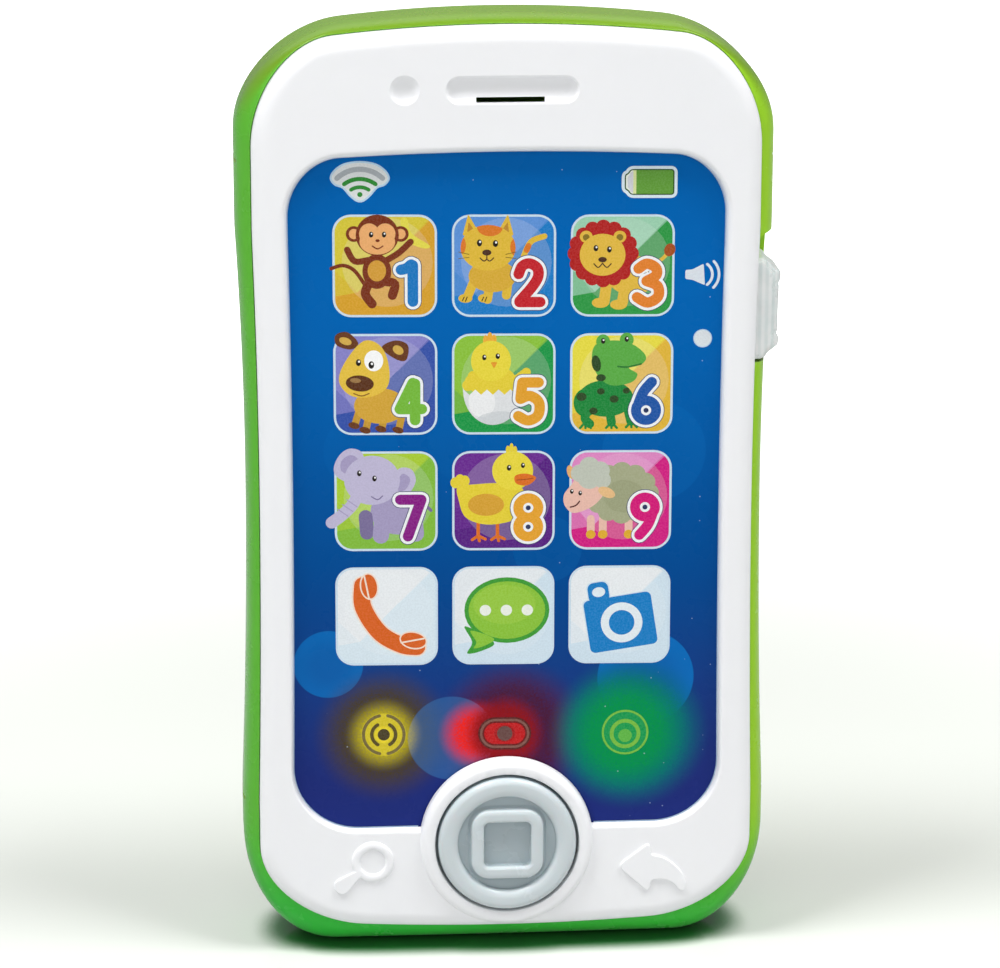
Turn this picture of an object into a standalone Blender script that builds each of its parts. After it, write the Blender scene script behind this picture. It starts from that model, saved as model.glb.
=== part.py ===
"""Toy cell phone for small children, as an assembly of its separate pieces.

Blender 4.5. The phone stands on its bottom edge: +Z is up, +X is to the right seen from the front,
and the screen looks along -Y. The origin is on the flat underside, midway across, where the
mould's widest band meets the table. Sizes below are in millimetres, and the scene is in metres.
"""

import math
from collections import namedtuple

import bmesh
import bpy
from mathutils import Vector

MM = 0.001

# ---------------------------------------------------------------- outlines seen from the front
# waist: half width at mid height; flare: extra half width towards both ends; corners: (width,
# height) of each quarter ellipse; crown and keel: radii of the arched top and bottom edges.
Outline = namedtuple("Outline", "waist flare top bottom top_corner bottom_corner crown keel")

SHELL = Outline(42.85, 1.25, 158.3, 0.0, (17.5, 19.5), (15.0, 20.5), 235.0, math.inf)
BEZEL = Outline(40.4, 0.7, 156.7, 3.9, (13.0, 19.5), (17.0, 14.7), 250.0, 400.0)
WINDOW = Outline(35.0, 0.4, 136.2, 21.2, (8.5, 10.5), (11.0, 11.0), 520.0, math.inf)
WAIST_Z = 80.0
TOP_FLARE_SPAN = 43.0
BOTTOM_FLARE_SPAN = 53.0

# ---------------------------------------------------------------- depth stations along Y
RING_FRONT = -14.2
BUTTON_FRONT = -14.9
FACE_FRONT = -13.0
FACE_BACK = -11.5
FILM_FRONT = -11.2
FILM_THICK = 0.4
PLATE_FRONT = -10.5
PLATE_THICK = 1.5
SKIRT_BACK = -8.5
RIM_FRONT = -10.2
LEDGE_Y = -8.2
TOUCH_BOARD_FRONT = -8.7
TOUCH_BOARD_THICK = 1.2
MAIN_BOARD_FRONT = -4.0
MAIN_BOARD_THICK = 1.6
BAND_FRONT = -5.0
BAND_BACK = 1.0
INNER_BACK = 11.0
BACK = 13.0

# ---------------------------------------------------------------- clearances and walls
GAP = 0.3
SEAM = 0.35
WALL = 2.2
BACK_INSET = 9.0
INNER_BACK_INSET = 8.0
SKIRT_WALL = 1.8
LEDGE_WIDTH = 1.4
CUT_PAST = 2.0
GROOVE_LEVELS = (134.8, 25.9)
GROOVE_DEPTH = 0.35
GROOVE_HEIGHT = 0.8

# ---------------------------------------------------------------- front features
HOME_Z = 19.0
RING_OUTER_R = 14.6
RING_INNER_R = 12.1
BUTTON_R = 11.65
BUTTON_FLANGE_R = 13.3
BUTTON_DISH_R = 8.2
BUTTON_SQUARE = 12.2
BUTTON_SQUARE_HOLE = 7.9
LENS_DIMPLE = (-16.7, 146.9)
LENS_DIMPLE_R = 2.15
EARPIECE = (0.7, 146.8)
EARPIECE_SIZE = (21.2, 4.2)
EARPIECE_DEPTH = 0.9
SOUND_SLOT = (0.7, 145.4)
SOUND_SLOT_SIZE = (11.3, 0.9)
EMBOSS = 0.6
MAGNIFIER = (-22.6, 15.9)
REPLY_ARROW = (24.0, 14.6)
LIGHT_X = 20.3
LIGHT_Z = 37.4
LIGHT_HOLE_R = 3.2
SHIELD_TUBE_R = 4.2
SHIELD_BORE_R = 3.3
LAMP_R = 2.45
LAMP_FLANGE_R = 2.9
LAMP_HEIGHT = 3.9

# ---------------------------------------------------------------- side slide switch
KNOB_TRAVEL = 3.0
KNOB_BOTTOM = 99.7
KNOB_TOP = 118.6
KNOB_OUTER_X = 45.3
POCKET_FLOOR_X = 41.5
POCKET_Y = (-10.6, 0.6)
NECK_Y = (-5.4, -3.0)
NECK_Z = (104.4, 113.4)
SWITCH_Z = 108.9

# ---------------------------------------------------------------- power and sound
CELL_R = 5.25
CELL_LENGTH = 44.5
CELL_PITCH = 11.6
CELL_Y = 5.75
NUB_R = 1.9
NUB_LENGTH = 0.9
POCKET_HALF_X = 18.0
POCKET_BAY_Z = (37.0, 89.0)
BAY_FLOOR_Y = 0.2
BAY_WALL = 1.5
DOOR_HALF_X = 20.7
DOOR_Z = (34.3, 98.7)
DOOR_CORNER = 5.0
DOOR_THICK = 1.4
DOOR_SCREW_Z = 94.2
DOOR_BOSS_R = 4.0
DOOR_POST_R = 5.6
DOOR_FRAME_MARGIN = 2.0
SPEAKER_Z = 120.0
SPEAKER_R = 14.0
CONE_R = 10.8
MAGNET_R = 6.6
SLOT_ROWS = 3
SLOT_PITCH = 3.0
SLOT_HEIGHT = 1.5
SLOT_FIELD_R = 11.0

# ---------------------------------------------------------------- fasteners
Screw = namedtuple("Screw", "head_radius head_height shank_radius length")

CASE_SCREW = Screw(2.8, 1.8, 1.3, 16.0)
BOARD_SCREW = Screw(2.2, 1.3, 0.9, 7.5)
DOOR_SCREW = Screw(2.6, 1.3, 1.2, 7.0)
RECESS_SHARE = 0.6
CASE_SCREWS = ((-25.0, 141.5), (25.0, 141.5), (-27.0, 15.0), (27.0, 15.0))
CASE_BOSS_R = 4.8
CASE_POST_R = 3.5
CASE_HEAD_FLOOR = 6.0
CASE_WELL_R = 3.3
CASE_SHANK_HOLE_R = 1.7
PILOT_R = 1.6
BOARD_SCREWS = ((-27.0, 52.0), (27.0, 52.0))
BOARD_BOSS_R = 3.0
BOARD_PILOT_R = 1.2
DOOR_HEAD_FLOOR = 11.2

# ---------------------------------------------------------------- resolution
CORNER_STEPS = 8
SIDE_STEPS = 8
END_STEPS = 3
ROUND_STEPS = 20
SMALL_ROUND_STEPS = 14
RING_STEPS = 36


# ================================================================ materials

def material(name, colour, roughness, metallic=0.0, alpha=1.0):
    """A Principled material with a plain colour."""
    made = bpy.data.materials.new(name)
    made.use_nodes = True
    shader = made.node_tree.nodes["Principled BSDF"]
    shader.inputs["Base Color"].default_value = (*colour, 1.0)
    shader.inputs["Roughness"].default_value = roughness
    shader.inputs["Metallic"].default_value = metallic
    shader.inputs["Alpha"].default_value = alpha
    made.diffuse_color = (*colour, alpha)
    return made


def green_plastic():
    return material("green_plastic", (0.20, 0.50, 0.03), 0.30)


def white_plastic():
    return material("white_plastic", (0.86, 0.86, 0.87), 0.28)


def printed_film():
    return material("printed_film", (0.01, 0.10, 0.42), 0.18)


def grey_plastic():
    return material("grey_plastic", (0.52, 0.58, 0.61), 0.30)


def frosted_plastic():
    return material("frosted_plastic", (0.72, 0.80, 0.80), 0.38)


def milky_plastic():
    return material("milky_plastic", (0.85, 0.87, 0.88), 0.50)


def black_plastic():
    return material("black_plastic", (0.02, 0.02, 0.022), 0.50)


def circuit_board():
    return material("circuit_board", (0.03, 0.20, 0.07), 0.45)


def silicone_rubber():
    return material("silicone_rubber", (0.55, 0.56, 0.58), 0.75)


def epoxy_resin():
    return material("epoxy_resin", (0.012, 0.012, 0.014), 0.25)


def plated_steel():
    return material("plated_steel", (0.62, 0.62, 0.64), 0.28, metallic=1.0)


def ferrite():
    return material("ferrite", (0.06, 0.06, 0.065), 0.55)


def paper_cone():
    return material("paper_cone", (0.05, 0.045, 0.04), 0.85)


def foam_rubber():
    return material("foam_rubber", (0.03, 0.03, 0.032), 0.95)


def cell_sleeve():
    return material("cell_sleeve", (0.05, 0.16, 0.42), 0.30, metallic=0.4)


def coloured_lens(name, colour):
    return material(name, colour, 0.12)


def wire_sleeve(name, colour):
    return material(name, colour, 0.45)


# ================================================================ outline helpers

def half_width(shape, z):
    span = TOP_FLARE_SPAN if z > WAIST_Z else BOTTOM_FLARE_SPAN
    reach = min(abs(z - WAIST_Z) / span, 1.0)
    return shape.waist + shape.flare * reach * reach


def bow(radius, x):
    """How far an arc of the given radius has turned away from its middle at x."""
    return x * x / (2.0 * radius)


def corner_point(shape, size, centre_z, angle):
    """One point on a rounded corner; the angle is 90 degrees at the end and 0 at the side."""
    width, height = size
    z = centre_z + height * math.sin(angle)
    x = half_width(shape, z) - width * (1.0 - math.cos(angle))
    return x, z


def outline_points(shape):
    """The closed outline as (x, z), from the top centre clockwise as seen from the front."""
    top_centre = shape.top - shape.top_corner[1]
    bottom_centre = shape.bottom + shape.bottom_corner[1]
    top_reach = half_width(shape, shape.top) - shape.top_corner[0]
    bottom_reach = half_width(shape, shape.bottom) - shape.bottom_corner[0]
    right = []
    for step in range(END_STEPS):
        x = top_reach * step / END_STEPS
        right.append((x, shape.top - bow(shape.crown, x)))
    for step in range(CORNER_STEPS + 1):
        angle = 0.5 * math.pi * (1.0 - step / CORNER_STEPS)
        x, z = corner_point(shape, shape.top_corner, top_centre, angle)
        right.append((x, z - bow(shape.crown, x) * math.sin(angle)))
    for step in range(1, SIDE_STEPS):
        z = top_centre + (bottom_centre - top_centre) * step / SIDE_STEPS
        right.append((half_width(shape, z), z))
    for step in range(CORNER_STEPS + 1):
        angle = -0.5 * math.pi * step / CORNER_STEPS
        x, z = corner_point(shape, shape.bottom_corner, bottom_centre, angle)
        right.append((x, z - bow(shape.keel, x) * math.sin(angle)))
    for step in range(1, END_STEPS + 1):
        x = bottom_reach * (1.0 - step / END_STEPS)
        right.append((x, shape.bottom + bow(shape.keel, x)))
    left = [(-x, z) for x, z in reversed(right[1:-1])]
    return right + left


def grown(points, amount):
    """The outline moved outwards along its normals."""
    moved = []
    count = len(points)
    for index, (x, z) in enumerate(points):
        before = points[index - 1]
        after = points[(index + 1) % count]
        along = Vector((after[0] - before[0], after[1] - before[1])).normalized()
        moved.append((x - along[1] * amount, z + along[0] * amount))
    return moved


def mixed(first, second, share):
    """An outline part of the way from one outline to another."""
    return [(a[0] + (b[0] - a[0]) * share, a[1] + (b[1] - a[1]) * share)
            for a, b in zip(first, second)]


def circle_points(centre, radius, steps=ROUND_STEPS):
    points = []
    for step in range(steps):
        angle = 2.0 * math.pi * step / steps
        points.append((centre[0] + radius * math.sin(angle), centre[1] + radius * math.cos(angle)))
    return points


def rounded_box_points(centre, size, radius, steps=4):
    """A rectangle with rounded corners, as (x, z) points, clockwise from its top right corner."""
    half_x = 0.5 * size[0] - radius
    half_z = 0.5 * size[1] - radius
    points = []
    for quarter, (sign_x, sign_z) in enumerate(((1, 1), (1, -1), (-1, -1), (-1, 1))):
        for step in range(steps + 1):
            angle = 0.5 * math.pi * (quarter + step / steps)
            x = centre[0] + sign_x * half_x + radius * math.sin(angle)
            z = centre[1] + sign_z * half_z + radius * math.cos(angle)
            points.append((x, z))
    return points


# ================================================================ mesh helpers

def mesh_from(name, mesh, smooth_angle=35.0):
    """Close a bmesh into mesh data in metres, with its faces pointing out."""
    bmesh.ops.remove_doubles(mesh, verts=mesh.verts, dist=1e-4)
    bmesh.ops.scale(mesh, vec=(MM, MM, MM), verts=mesh.verts)
    bmesh.ops.recalc_face_normals(mesh, faces=mesh.faces)
    data = bpy.data.meshes.new(name)
    mesh.to_mesh(data)
    mesh.free()
    data.shade_smooth()
    data.set_sharp_from_angle(angle=math.radians(smooth_angle))
    return data


def add_loop(mesh, points, y):
    """A closed loop of edges in the plane at depth y."""
    verts = [mesh.verts.new((x, y, z)) for x, z in points]
    edges = [mesh.edges.new((verts[i - 1], verts[i])) for i in range(len(verts))]
    return verts, edges


def add_loft(mesh, stations, closed=False):
    """Skin a row of loops, each given as (points, y), and cap it unless it closes on itself."""
    loops = [add_loop(mesh, points, y)[0] for points, y in stations]
    pairs = list(zip(loops, loops[1:]))
    if closed:
        pairs.append((loops[-1], loops[0]))
    else:
        mesh.faces.new(loops[0])
        mesh.faces.new(loops[-1])
    for first, second in pairs:
        count = len(first)
        for i in range(count):
            mesh.faces.new((first[i - 1], first[i], second[i], second[i - 1]))


def loft(name, stations, closed=False):
    mesh = bmesh.new()
    add_loft(mesh, stations, closed)
    return mesh_from(name, mesh)


def add_prism(mesh, points, front, back):
    """A flat plate with the given outline, extruded from front to back along Y."""
    verts, _ = add_loop(mesh, points, front)
    face = mesh.faces.new(verts)
    grown_region = bmesh.ops.extrude_face_region(mesh, geom=[face], use_keep_orig=True)
    moved = [item for item in grown_region["geom"] if isinstance(item, bmesh.types.BMVert)]
    bmesh.ops.translate(mesh, verts=moved, vec=(0.0, back - front, 0.0))


def prism(name, *plates):
    """One mesh of separate plates, each given as (points, front, back)."""
    mesh = bmesh.new()
    for points, front, back in plates:
        add_prism(mesh, points, front, back)
    return mesh_from(name, mesh)


def add_box(mesh, low, high):
    size = [b - a for a, b in zip(low, high)]
    middle = [0.5 * (a + b) for a, b in zip(low, high)]
    made = bmesh.ops.create_cube(mesh, size=1.0)
    bmesh.ops.scale(mesh, vec=size, verts=made["verts"])
    bmesh.ops.translate(mesh, vec=middle, verts=made["verts"])


def boxes(name, *corners):
    """One mesh of separate boxes, each given as its low and high corners."""
    mesh = bmesh.new()
    for low, high in corners:
        add_box(mesh, low, high)
    return mesh_from(name, mesh)


def add_turned(mesh, profile, centre=(0.0, 0.0, 0.0), axis="Y", steps=ROUND_STEPS):
    """Spin a profile of (radius, height) points once round an axis through the centre.

    A profile that starts and ends on the axis makes a solid; one that doesn't closes on itself
    into a ring.
    """
    open_ends = profile[0][0] < 1e-6 and profile[-1][0] < 1e-6
    direction = {"X": Vector((1, 0, 0)), "Y": Vector((0, 1, 0)), "Z": Vector((0, 0, 1))}[axis]
    outward = Vector((0, 0, 1)) if axis != "Z" else Vector((1, 0, 0))
    origin = Vector(centre)
    verts = [mesh.verts.new(origin + outward * radius + direction * height)
             for radius, height in profile]
    edges = [mesh.edges.new(pair) for pair in zip(verts, verts[1:])]
    if not open_ends:
        edges.append(mesh.edges.new((verts[-1], verts[0])))
    bmesh.ops.spin(mesh, geom=verts + edges, cent=origin, axis=direction,
                   angle=2.0 * math.pi, steps=steps, use_merge=True)


def turned(name, *parts, steps=ROUND_STEPS):
    """One mesh of separate turned bodies, each given as (profile, centre, axis)."""
    mesh = bmesh.new()
    for profile, centre, axis in parts:
        add_turned(mesh, profile, centre, axis, steps)
    return mesh_from(name, mesh)


def rod_profile(radius, start, end):
    return [(0.0, start), (radius, start), (radius, end), (0.0, end)]


def tube_profile(inner, outer, start, end):
    return [(inner, start), (outer, start), (outer, end), (inner, end)]


def bent_wire(name, points, radius, detail=1):
    """A round wire along the given points, from a bevelled curve with filled ends."""
    curve = bpy.data.curves.new(name, "CURVE")
    curve.dimensions = "3D"
    curve.bevel_depth = radius * MM
    curve.bevel_resolution = detail
    curve.use_fill_caps = True
    spline = curve.splines.new("POLY")
    spline.points.add(len(points) - 1)
    for slot, point in zip(spline.points, points):
        slot.co = (*(value * MM for value in point), 1.0)
    guide = bpy.data.objects.new(name + "_guide", curve)
    bpy.context.scene.collection.objects.link(guide)
    bpy.context.view_layer.update()
    data = bpy.data.meshes.new_from_object(guide)
    bpy.data.objects.remove(guide)
    bpy.data.curves.remove(curve)
    mesh = bmesh.new()
    mesh.from_mesh(data)
    bpy.data.meshes.remove(data)
    bmesh.ops.scale(mesh, vec=(1.0 / MM,) * 3, verts=mesh.verts)
    return mesh_from(name, mesh, smooth_angle=60.0)


# ================================================================ object helpers

def put(name, data, finish, parent, location=(0.0, 0.0, 0.0)):
    """Add a piece to the scene, with its origin at a location given in millimetres."""
    piece = bpy.data.objects.new(name, data)
    bpy.context.scene.collection.objects.link(piece)
    data.materials.append(finish)
    piece.parent = parent
    piece.location = Vector(location) * MM
    return piece


def put_axis(name, parent, location):
    """An empty that marks where a moving piece's joint axis passes."""
    axis = bpy.data.objects.new(name, None)
    bpy.context.scene.collection.objects.link(axis)
    axis.parent = parent
    axis.location = Vector(location) * MM
    return axis


def combine(piece, operation, data):
    """Add or remove a solid given in the piece's own frame, with a Boolean modifier."""
    tool = bpy.data.objects.new(f"{piece.name}_{operation.lower()}_{len(piece.modifiers)}", data)
    bpy.context.scene.collection.objects.link(tool)
    tool.parent = piece
    tool.hide_render = True
    tool.display_type = "WIRE"
    change = piece.modifiers.new(operation.title(), "BOOLEAN")
    change.operation = operation
    change.solver = "EXACT"
    change.object = tool
    piece.modifiers.new("Triangles", "TRIANGULATE").min_vertices = 5


def add(piece, data):
    combine(piece, "UNION", data)


def cut(piece, data):
    combine(piece, "DIFFERENCE", data)


# ================================================================ casing

def rear_shell_stations():
    """The green tub: its outer skin from the rim to the back, then its inner skin forwards."""
    rim = grown(outline_points(BEZEL), SEAM)
    widest = outline_points(SHELL)
    stations = [(rim, RIM_FRONT)]
    front_depth = BAND_FRONT - RIM_FRONT
    for degrees in (30, 60, 90):
        angle = math.radians(degrees)
        y = RIM_FRONT + front_depth * (1.0 - math.cos(angle))
        stations.append((mixed(rim, widest, math.sin(angle)), y))
    for degrees in (0, 20, 40, 60, 75, 90):
        angle = math.radians(degrees)
        inset = BACK_INSET * (1.0 - math.cos(angle))
        stations.append((grown(widest, -inset), BAND_BACK + (BACK - BAND_BACK) * math.sin(angle)))
    for degrees in (90, 60, 30, 0):
        angle = math.radians(degrees)
        inset = WALL + INNER_BACK_INSET * (1.0 - math.cos(angle))
        y = BAND_BACK + (INNER_BACK - BAND_BACK) * math.sin(angle)
        stations.append((grown(widest, -inset), y))
    stations.append((grown(widest, -WALL), BAND_FRONT - 1.0))
    ledge = grown(outline_points(BEZEL), -LEDGE_WIDTH)
    stations.append((ledge, LEDGE_Y + 1.0))
    stations.append((ledge, LEDGE_Y))
    stations.append((rim, LEDGE_Y))
    return stations


def tub_mesh():
    """Skin the tub: open rim at the front, flat floors at the back of both skins."""
    mesh = bmesh.new()
    stations = rear_shell_stations()
    loops = [add_loop(mesh, points, y)[0] for points, y in stations]
    floors = [i for i in range(len(stations) - 1)
              if stations[i][1] == BACK and stations[i + 1][1] == INNER_BACK]
    split = floors[0]
    pairs = [pair for i, pair in enumerate(zip(loops, loops[1:])) if i != split]
    pairs.append((loops[-1], loops[0]))
    for first, second in pairs:
        for i in range(len(first)):
            mesh.faces.new((first[i - 1], first[i], second[i], second[i - 1]))
    mesh.faces.new(loops[split])
    mesh.faces.new(loops[split + 1])
    return mesh_from("rear_shell", mesh)


def side_grooves():
    """Cutters for the thin lines across both sides of the tub, above and below the grip."""
    mesh = bmesh.new()
    for level in GROOVE_LEVELS:
        for side in (-1.0, 1.0):
            inner_x = half_width(SHELL, level) - GROOVE_DEPTH
            low_x, high_x = sorted((side * inner_x, side * (inner_x + CUT_PAST)))
            add_box(mesh, (low_x, RIM_FRONT - CUT_PAST, level - 0.5 * GROOVE_HEIGHT),
                    (high_x, BAND_BACK + 4.0, level + 0.5 * GROOVE_HEIGHT))
    return mesh_from("side_grooves", mesh)


def door_outline(margin):
    """The battery door's outline, grown by a margin."""
    centre = (0.0, 0.5 * (DOOR_Z[0] + DOOR_Z[1]))
    size = (2.0 * (DOOR_HALF_X + margin), DOOR_Z[1] - DOOR_Z[0] + 2.0 * margin)
    return rounded_box_points(centre, size, DOOR_CORNER + margin)


def make_rear_shell(parent):
    shell = put("rear_shell", tub_mesh(), green_plastic(), parent)
    tray_low = (-POCKET_HALF_X - BAY_WALL, BAY_FLOOR_Y - BAY_WALL, POCKET_BAY_Z[0] - BAY_WALL)
    tray_high = (POCKET_HALF_X + BAY_WALL, INNER_BACK + 0.5, POCKET_BAY_Z[1] + BAY_WALL)
    add(shell, boxes("battery_tray", (tray_low, tray_high)))
    add(shell, prism("door_frame", (door_outline(DOOR_FRAME_MARGIN), 9.3, INNER_BACK + 0.7)))
    bosses = [(rod_profile(DOOR_POST_R, 1.5, INNER_BACK + 0.9), (0.0, 0.0, DOOR_SCREW_Z), "Y")]
    for x, z in CASE_SCREWS:
        bosses.append((rod_profile(CASE_BOSS_R, -4.9, INNER_BACK + 0.8), (x, 0.0, z), "Y"))
    board_back = MAIN_BOARD_FRONT + MAIN_BOARD_THICK
    for x, z in BOARD_SCREWS:
        bosses.append((rod_profile(BOARD_BOSS_R, board_back + GAP, INNER_BACK + 0.3), (x, 0.0, z), "Y"))
    add(shell, turned("bosses", *bosses, steps=SMALL_ROUND_STEPS))
    add(shell, boxes("switch_wall", ((38.9, -7.0, 97.0), (POCKET_FLOOR_X + 0.6, 2.0, 125.0))))
    cut_shell_openings(shell)
    return shell


def cut_shell_openings(shell):
    """Battery bay, door recess, screw wells, sound slots, grooves and the slide switch's pocket."""
    bay_low = (-POCKET_HALF_X, BAY_FLOOR_Y, POCKET_BAY_Z[0])
    bay_high = (POCKET_HALF_X, BACK + CUT_PAST, POCKET_BAY_Z[1])
    cut(shell, boxes("battery_bay", (bay_low, bay_high)))
    recess_floor = BACK - DOOR_THICK - GAP
    cut(shell, prism("door_recess", (door_outline(GAP), recess_floor, BACK + CUT_PAST)))
    cut(shell, turned("screw_wells", *well_parts(), steps=SMALL_ROUND_STEPS))
    cut(shell, prism("sound_slots", *slot_plates()))
    cut(shell, side_grooves())
    pocket_low = (POCKET_FLOOR_X, POCKET_Y[0], KNOB_BOTTOM - GAP)
    pocket_high = (KNOB_OUTER_X + CUT_PAST, POCKET_Y[1], KNOB_TOP + KNOB_TRAVEL + GAP)
    cut(shell, boxes("switch_pocket", (pocket_low, pocket_high)))
    slot_low = (POCKET_FLOOR_X - 4.5, NECK_Y[0] - GAP, NECK_Z[0] - GAP)
    slot_high = (POCKET_FLOOR_X + 1.5, NECK_Y[1] + GAP, NECK_Z[1] + KNOB_TRAVEL + GAP)
    cut(shell, boxes("switch_slot", (slot_low, slot_high)))


def well_parts():
    """Cutters for the stepped screw wells in the back, and the board screws' pilot holes."""
    clear_r = DOOR_SCREW.shank_radius + GAP
    post_r = DOOR_BOSS_R + 0.4
    parts = [([(0.0, 3.0), (clear_r, 3.0), (clear_r, 9.6), (post_r, 9.6), (post_r, BACK + CUT_PAST),
               (0.0, BACK + CUT_PAST)], (0.0, 0.0, DOOR_SCREW_Z), "Y")]
    for x, z in CASE_SCREWS:
        profile = [(0.0, -6.0), (CASE_SHANK_HOLE_R, -6.0), (CASE_SHANK_HOLE_R, CASE_HEAD_FLOOR),
                   (CASE_WELL_R, CASE_HEAD_FLOOR), (CASE_WELL_R, BACK + CUT_PAST),
                   (0.0, BACK + CUT_PAST)]
        parts.append((profile, (x, 0.0, z), "Y"))
    for x, z in BOARD_SCREWS:
        parts.append((rod_profile(BOARD_PILOT_R, -4.0, 6.0), (x, 0.0, z), "Y"))
    return parts


def slot_plates():
    """Cutters for the rows of sound slots, which fill a round field behind the speaker."""
    plates = []
    for row in range(-SLOT_ROWS, SLOT_ROWS + 1):
        offset = SLOT_PITCH * row
        reach = math.sqrt(SLOT_FIELD_R ** 2 - offset ** 2)
        points = rounded_box_points((0.0, SPEAKER_Z + offset), (2.0 * reach, SLOT_HEIGHT),
                                    0.5 * SLOT_HEIGHT - 0.01, steps=3)
        plates.append((points, INNER_BACK - 1.0, BACK + 1.0))
    return plates


def bezel_stations():
    """The white face's cross-section, once round from the window edge and back to it."""
    window = outline_points(WINDOW)
    edge = outline_points(BEZEL)
    return [
        (window, FACE_BACK),
        (grown(window, 0.9), FACE_FRONT + 0.25),
        (grown(window, 1.5), FACE_FRONT),
        (grown(edge, -2.6), FACE_FRONT),
        (grown(edge, -1.3), FACE_FRONT + 0.3),
        (grown(edge, -0.4), FACE_FRONT + 1.0),
        (edge, FACE_FRONT + 2.0),
        (edge, SKIRT_BACK),
        (grown(edge, -SKIRT_WALL), SKIRT_BACK),
        (grown(edge, -SKIRT_WALL), FACE_BACK),
    ]


def arrow_points():
    """A bent arrow that points left: head, then a tail that curves down to the right."""
    x, z = REPLY_ARROW
    head = [(x - 5.3, z - 0.9), (x - 0.6, z + 3.4), (x - 0.6, z + 1.5)]
    tail_out = []
    tail_in = []
    for step in range(5):
        angle = math.radians(90.0 * (1.0 - step / 4.0))
        tail_out.append((x - 0.6 + 6.4 * math.cos(angle), z - 5.0 + 6.3 * math.sin(angle)))
        tail_in.append((x - 0.6 + 5.6 * math.cos(angle), z - 5.3 + 3.2 * math.sin(angle)))
    return head + tail_out + tail_in[::-1] + [(x - 0.6, z - 4.6)]


def make_front_bezel(parent):
    bezel = put("front_bezel", loft("front_bezel", bezel_stations(), closed=True),
                white_plastic(), parent)
    home = (0.0, 0.0, HOME_Z)
    ring_back = FACE_BACK - 0.05
    ring = [(0.0, ring_back), (RING_OUTER_R, ring_back), (RING_OUTER_R, RING_FRONT + 1.2),
            (RING_OUTER_R - 0.4, RING_FRONT + 0.4), (RING_OUTER_R - 1.2, RING_FRONT),
            (0.0, RING_FRONT)]
    add(bezel, turned("button_ring", (ring, home, "Y"), steps=RING_STEPS))
    posts = [(rod_profile(CASE_POST_R, FACE_BACK - 0.5, -5.2 - GAP), (x, 0.0, z), "Y")
             for x, z in CASE_SCREWS]
    add(bezel, turned("screw_posts", *posts, steps=SMALL_ROUND_STEPS))
    glass = tube_profile(2.1, 3.5, FACE_FRONT - EMBOSS, FACE_FRONT + 0.5)
    add(bezel, turned("magnifier_ring", (glass, (MAGNIFIER[0], 0.0, MAGNIFIER[1]), "Y")))
    add(bezel, prism("chin_signs", (handle_points(), FACE_FRONT - EMBOSS, FACE_FRONT + 0.5),
                     (arrow_points(), FACE_FRONT - EMBOSS, FACE_FRONT + 0.5)))
    hole = rod_profile(RING_INNER_R, FACE_BACK - 6.0, FACE_BACK + 2.2)
    pilots = [(rod_profile(PILOT_R, FACE_BACK + 0.9, -4.0), (x, 0.0, z), "Y")
              for x, z in CASE_SCREWS]
    cut(bezel, turned("button_hole", (hole, home, "Y"), steps=RING_STEPS))
    cut(bezel, turned("pilot_holes", *pilots, steps=SMALL_ROUND_STEPS))
    scoop = rounded_box_points(EARPIECE, EARPIECE_SIZE, 0.5 * EARPIECE_SIZE[1] - 0.01)
    slot = rounded_box_points(SOUND_SLOT, SOUND_SLOT_SIZE, 0.4, steps=2)
    cut(bezel, prism("earpiece_scoop", (scoop, FACE_FRONT - 1.0, FACE_FRONT + EARPIECE_DEPTH)))
    cut(bezel, prism("earpiece_slot", (slot, FACE_FRONT, FACE_BACK + 1.0)))
    dimple = [(0.0, FACE_FRONT - 1.0), (LENS_DIMPLE_R, FACE_FRONT - 1.0),
              (LENS_DIMPLE_R, FACE_FRONT + 0.1), (0.6 * LENS_DIMPLE_R, FACE_FRONT + 0.6),
              (0.0, FACE_FRONT + 0.75)]
    cut(bezel, turned("lens_dimple", (dimple, (LENS_DIMPLE[0], 0.0, LENS_DIMPLE[1]), "Y")))
    return bezel


def handle_points():
    """The magnifier's short handle, from just outside its ring down to the left."""
    x, z = MAGNIFIER
    along = Vector((-0.80, -0.60))
    across = Vector((0.60, -0.80))
    points = []
    for reach, half in ((3.2, 0.7), (7.4, 1.2)):
        centre = Vector((x, z)) + along * reach
        points.append(((centre - across * half)[:], (centre + across * half)[:]))
    (a, b), (c, d) = points
    return [a, b, d, c]


# ================================================================ screen stack

def make_screen_film(parent):
    sheet = grown(outline_points(WINDOW), 1.0)
    film = put("screen_film", prism("screen_film", (sheet, FILM_FRONT, FILM_FRONT + FILM_THICK)),
               printed_film(), parent)
    opening = circle_points((0.0, HOME_Z), BUTTON_FLANGE_R + 0.5)
    cut(film, prism("film_opening", (opening, FILM_FRONT - 2.0, FILM_FRONT + 2.0)))
    return film


def make_screen_plate(parent):
    sheet = grown(outline_points(WINDOW), 1.4)
    plate = put("screen_support_plate",
                prism("screen_support_plate", (sheet, PLATE_FRONT, PLATE_FRONT + PLATE_THICK)),
                milky_plastic(), parent)
    openings = [(circle_points((0.0, HOME_Z), BUTTON_FLANGE_R + 0.6),
                 PLATE_FRONT - 2.0, PLATE_FRONT + 4.0)]
    for x in (-LIGHT_X, 0.0, LIGHT_X):
        openings.append((circle_points((x, LIGHT_Z), LIGHT_HOLE_R), PLATE_FRONT - 2.0,
                         PLATE_FRONT + 4.0))
    cut(plate, prism("plate_openings", *openings))
    return plate


def make_touch_board(parent):
    points = rounded_box_points((0.0, 90.5), (63.0, 81.0), 3.0)
    back = TOUCH_BOARD_FRONT + TOUCH_BOARD_THICK
    return put("touch_sensor_board", prism("touch_sensor_board", (points, TOUCH_BOARD_FRONT, back)),
               circuit_board(), parent)


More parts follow.
